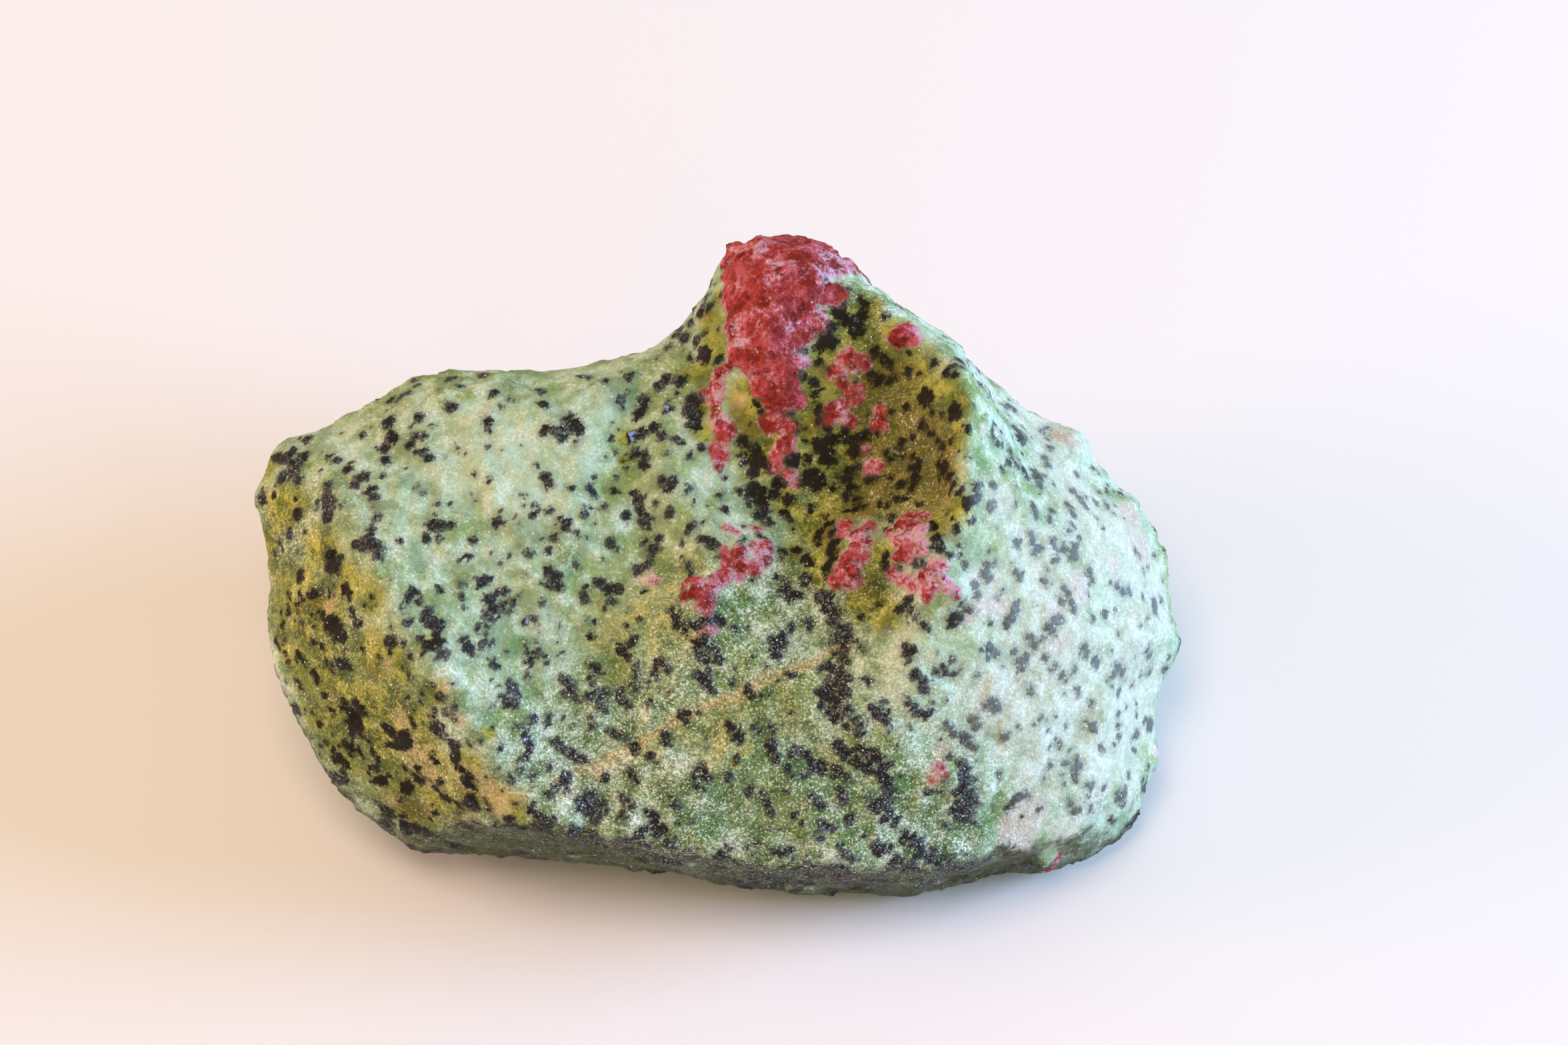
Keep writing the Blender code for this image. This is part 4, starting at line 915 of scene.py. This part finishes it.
    # Frost, partly a painted highlight where the ruby catches the light
    frost = patches * 1.2 + fine + frosted * 0.34 + tone * 0.2 + rim
    red = f.mix(frost.within(0.05, 0.45) * 0.8, red, RUBY_FROST_AND_HIGHLIGHT)
    red = f.shade(red, 0.98 + grain * 0.4)
    look = f.mix(is_ruby * (1 - is_black * ruby.within(0.4, 0.0) * 0.85), look, red)

    # Painted glints in the base colour, then gloss and relief
    glint = f.part(f.cells(0.42, "Color"), 1) + crisp * 0.05 - stain_and_shade * 0.06 - is_ruby * 0.04
    painted_glint = glint.within(0.93, 0.96) * f.cells(0.42, "Distance").within(0.34, 0.16)
    f.set("Base Color", f.mix(painted_glint * 0.8, look, PAINTED_GLINT_WHITE))
    f.set("Specular IOR Level", 0.2)
    f.set("Roughness", 0.62 - painted_glint * 0.35 - is_black * (1 - stain_and_shade * 0.8) * 0.22)
    height = (0.22 + fine * 0.22 + grit * 0.14 + tone * 0.08) * (0.5 + crisp * 0.9) * (1 - stain_and_shade * 0.4)
    height = height + lumps * 0.22 + is_black * 0.12 + is_ruby * knob * 0.30
    bump = f.node("ShaderNodeBump", {}, {"Strength": 1.0, "Distance": MM, "Height": height}, "Normal")
    f.set("Normal", bump)
    return f.material


# ---------------------------------------------------------------- the stone

TINT_MARKS = {
    "frosted": RUBY_FROST_AND_HIGHLIGHT_MARKS, "olive": OLIVE_STAIN_AND_SHADE, "amber": PAINTED_WARM_SHADE_MARKS, "vivid": VIVID, "pale": PALE_AND_LIT,
    "chalky": CHALKY, "rose": ROSE, "tan": TAN, "crisp": CRISP,
}
FAINT = 0.5  # strength of the faint olive marks
# On the sides out of view: the tint, how wide and which noise, from where to where it grows, and its share
UNSEEN_TINTS = (
    ("olive", 13.0, 21, 0.0, 0.6, 0.8),
    ("pale", 11.0, 22, 0.1, 0.7, 0.8),
    ("rose", 9.0, 23, 0.45, 0.8, 0.7),
)
UNSEEN_CRISP = 0.5
TO_CAMERA, UPWARD = 0.05, 0.30  # faces that turn there by less get their hornblende at random
UNSEEN_CRUSTS = [((10, 30, 34), 5), ((-18, 28, 16), 4), ((38, 22, 14), 4), ((5, 10, 0), 4)]
CRUST_GRAINS = 14
CRUST_RADII = (0.8, 1.8)
MARK_STRENGTH = 0.95  # of a stain in the middle of its mark
FISSURE_STAIN, FISSURE_WIDTH, FISSURE_DEPTH = 0.75, 0.5, 0.14  # mm
# The broken surface: height in mm, kind, width in mm and seed
BREAKS = ((0.22, flats, 5.0, 1), (0.20, flats, 2.4, 2), (0.12, smooth_noise, 1.1, 4))


def sow_all(surface, normals, marks_tree, grains_tree):
    """The stone's ruby, its hornblende and the places on the hornblende painted with bluish glints off its
    cleavage faces.
    """
    ruby, black, blue = (Grains(surface.at, grains_tree, seed) for seed in (11, 12, 14))
    for group in RUBY.values():
        ruby.add_all(seat(marks_tree, group))
    for group in BLACK.values():
        black.add_all(seat(marks_tree, group))
    blue.add_all(seat(marks_tree, PAINTED_BLUE_GLINT_MARKS))
    hidden = (normals @ SECTION_OUT < TO_CAMERA) | (normals[:, 2] < UPWARD)
    everywhere = np.ones(len(hidden), bool)
    sow(black, hidden, 2600, crowd_width=8.0, crowding=(-0.5, 0.4), radii=(0.3, 1.1), seed=13)
    sow(black, everywhere, 2400, crowd_width=6.0, crowding=(-0.6, 0.6), radii=(0.14, 0.40), seed=16)
    sow_crusts(ruby, UNSEEN_CRUSTS, 15)
    return ruby.depth, black.depth, blue.depth


def tint_fields(at, normals, tree, fissure):
    """A soft field for each tint over the whole stone; some are stain, some painted light and shade, some
    both.
    """
    made = {name: field(at, seat(tree, marks)) for name, marks in TINT_MARKS.items()}
    made["olive"] = np.maximum(made["olive"], FAINT * field(at, seat(tree, FAINT_OLIVE_STAIN_AND_SHADE)))
    unseen = ramp(-(normals @ SECTION_OUT), -0.1, 0.3)
    for name, width, seed, low, high, share in UNSEEN_TINTS:
        spread = unseen * ramp(smooth_noise(at, width, seed), low, high) * share
        made[name] = np.maximum(made[name], spread)
    made["crisp"] = np.maximum(made["crisp"], unseen * UNSEEN_CRISP)
    made["tan"] = np.maximum(made["tan"], np.exp(-((fissure / FISSURE_STAIN) ** 2)))
    # Painted shade with some dirt under the stone, on faces turned down, mostly at the front
    underside = ramp(-normals[:, 2], -0.45, 0.30)
    made["umber"] = underside * (1 - 0.75 * ramp(normals[:, 1], -0.75, -0.15))
    return made


def relief(at, ruby, black, fissure):
    """How far each point stands out of the eased solid, in mm."""
    broken = sum(height * kind(at, width, seed) for height, kind, width, seed in BREAKS)
    crust = 0.40 * ramp(ruby, -0.3, 0.8) + 0.26 * flats(at, 1.5, 3) * ramp(ruby, -0.2, 0.3)
    spots = 0.12 * ramp(black, -0.2, 0.3)
    return broken + crust + spots - FISSURE_DEPTH * np.exp(-((fissure / FISSURE_WIDTH) ** 2))


def make_stone():
    surface = Surface(fine_mesh())
    surface.ease(EASING_PASSES)
    at, normals = surface.at, surface.normals()
    faces = [tuple(face.vertices) for face in surface.mesh.polygons]
    tree = BVHTree.FromPolygons([Vector(point) for point in at], faces)
    ruby, black, blue = sow_all(surface, normals, tree, points_tree(at))
    fissure = off_line(at, [middle for middle, _ in seat(tree, [(x, y, 1) for x, y in FISSURE])])
    looks = {"ruby": ruby, "black": black, "blue": blue, **tint_fields(at, normals, tree, fissure)}

    surface.at = at + normals * relief(at, ruby, black, fissure)[:, None]
    surface.settle()
    surface.keep_in_box()
    surface.write()
    for name, values in looks.items():
        made = surface.mesh.attributes.new(name, "FLOAT", "POINT")
        made.data.foreach_set("value", values.astype(np.float32))
    stone = bpy.data.objects.new("zoisite_and_ruby", surface.mesh)
    bpy.context.scene.collection.objects.link(stone)
    surface.mesh.materials.clear()
    surface.mesh.materials.append(stone_finish())
    surface.mesh.shade_smooth()
    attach(stone, "root")
    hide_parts(STONE)


# ---------------------------------------------------------------- camera, floor and light

CLEAR = 0.01  # m, nothing nearer to the camera shows
FLOOR_HALF = 4.0  # m
LIGHT_WIDE = 0.5  # m
LIT_MIDDLE = Vector((0, 0, 0.02))
# Place in metres, and watts of red, green and blue
LIGHTS = {
    "ceiling": ((-0.15, -0.10, 0.95), (3.35, 2.52, 2.03)),
    "window": ((0.88, 0.05, 0.30), (5.15, 8.3, 13.9)),
    "far_side": ((-0.85, 0.0, 0.28), (4.3, 2.5, 2.4)),
}
ROOM_COLOUR, ROOM_STRENGTH = (0.70, 0.63, 0.37, 1.0), 0.6


def make_camera():
    camera = bpy.data.objects.new("camera", bpy.data.cameras.new("camera"))
    bpy.context.scene.collection.objects.link(camera)
    camera.data.lens = LENS
    camera.data.sensor_width = SENSOR
    camera.data.clip_start = CLEAR
    camera.location = Vector(EYE * MM)
    camera.rotation_euler = Vector(-SECTION_OUT).to_track_quat("-Z", "Y").to_euler()
    bpy.context.scene.camera = camera


def make_floor():
    sheet = bmesh.new()
    bmesh.ops.create_grid(sheet, x_segments=1, y_segments=1, size=FLOOR_HALF)
    mesh = bpy.data.meshes.new("floor")
    sheet.to_mesh(mesh)
    sheet.free()
    floor = bpy.data.objects.new("floor", mesh)
    bpy.context.scene.collection.objects.link(floor)
    f = Finish("paper")
    f.set("Base Color", PAPER)
    f.set("Roughness", 0.9)
    mesh.materials.append(f.material)


def make_light():
    """Soft round lights turned to the stone, and an even room."""
    for name, (place, watts) in LIGHTS.items():
        light = bpy.data.lights.new(name, "AREA")
        light.shape = "DISK"
        light.size = LIGHT_WIDE
        light.energy = max(watts)
        light.color = [part / max(watts) for part in watts]
        holder = bpy.data.objects.new(name, light)
        bpy.context.scene.collection.objects.link(holder)
        holder.location = place
        holder.rotation_euler = (LIT_MIDDLE - Vector(place)).to_track_quat("-Z", "Y").to_euler()
    world = bpy.data.worlds.new("room")
    world.use_nodes = True
    background = world.node_tree.nodes["Background"]
    background.inputs["Color"].default_value = ROOM_COLOUR
    background.inputs["Strength"].default_value = ROOM_STRENGTH
    bpy.context.scene.world = world
    bpy.context.scene.view_settings.view_transform = "Standard"


make_camera()
make_floor()
make_light()
make_stone()
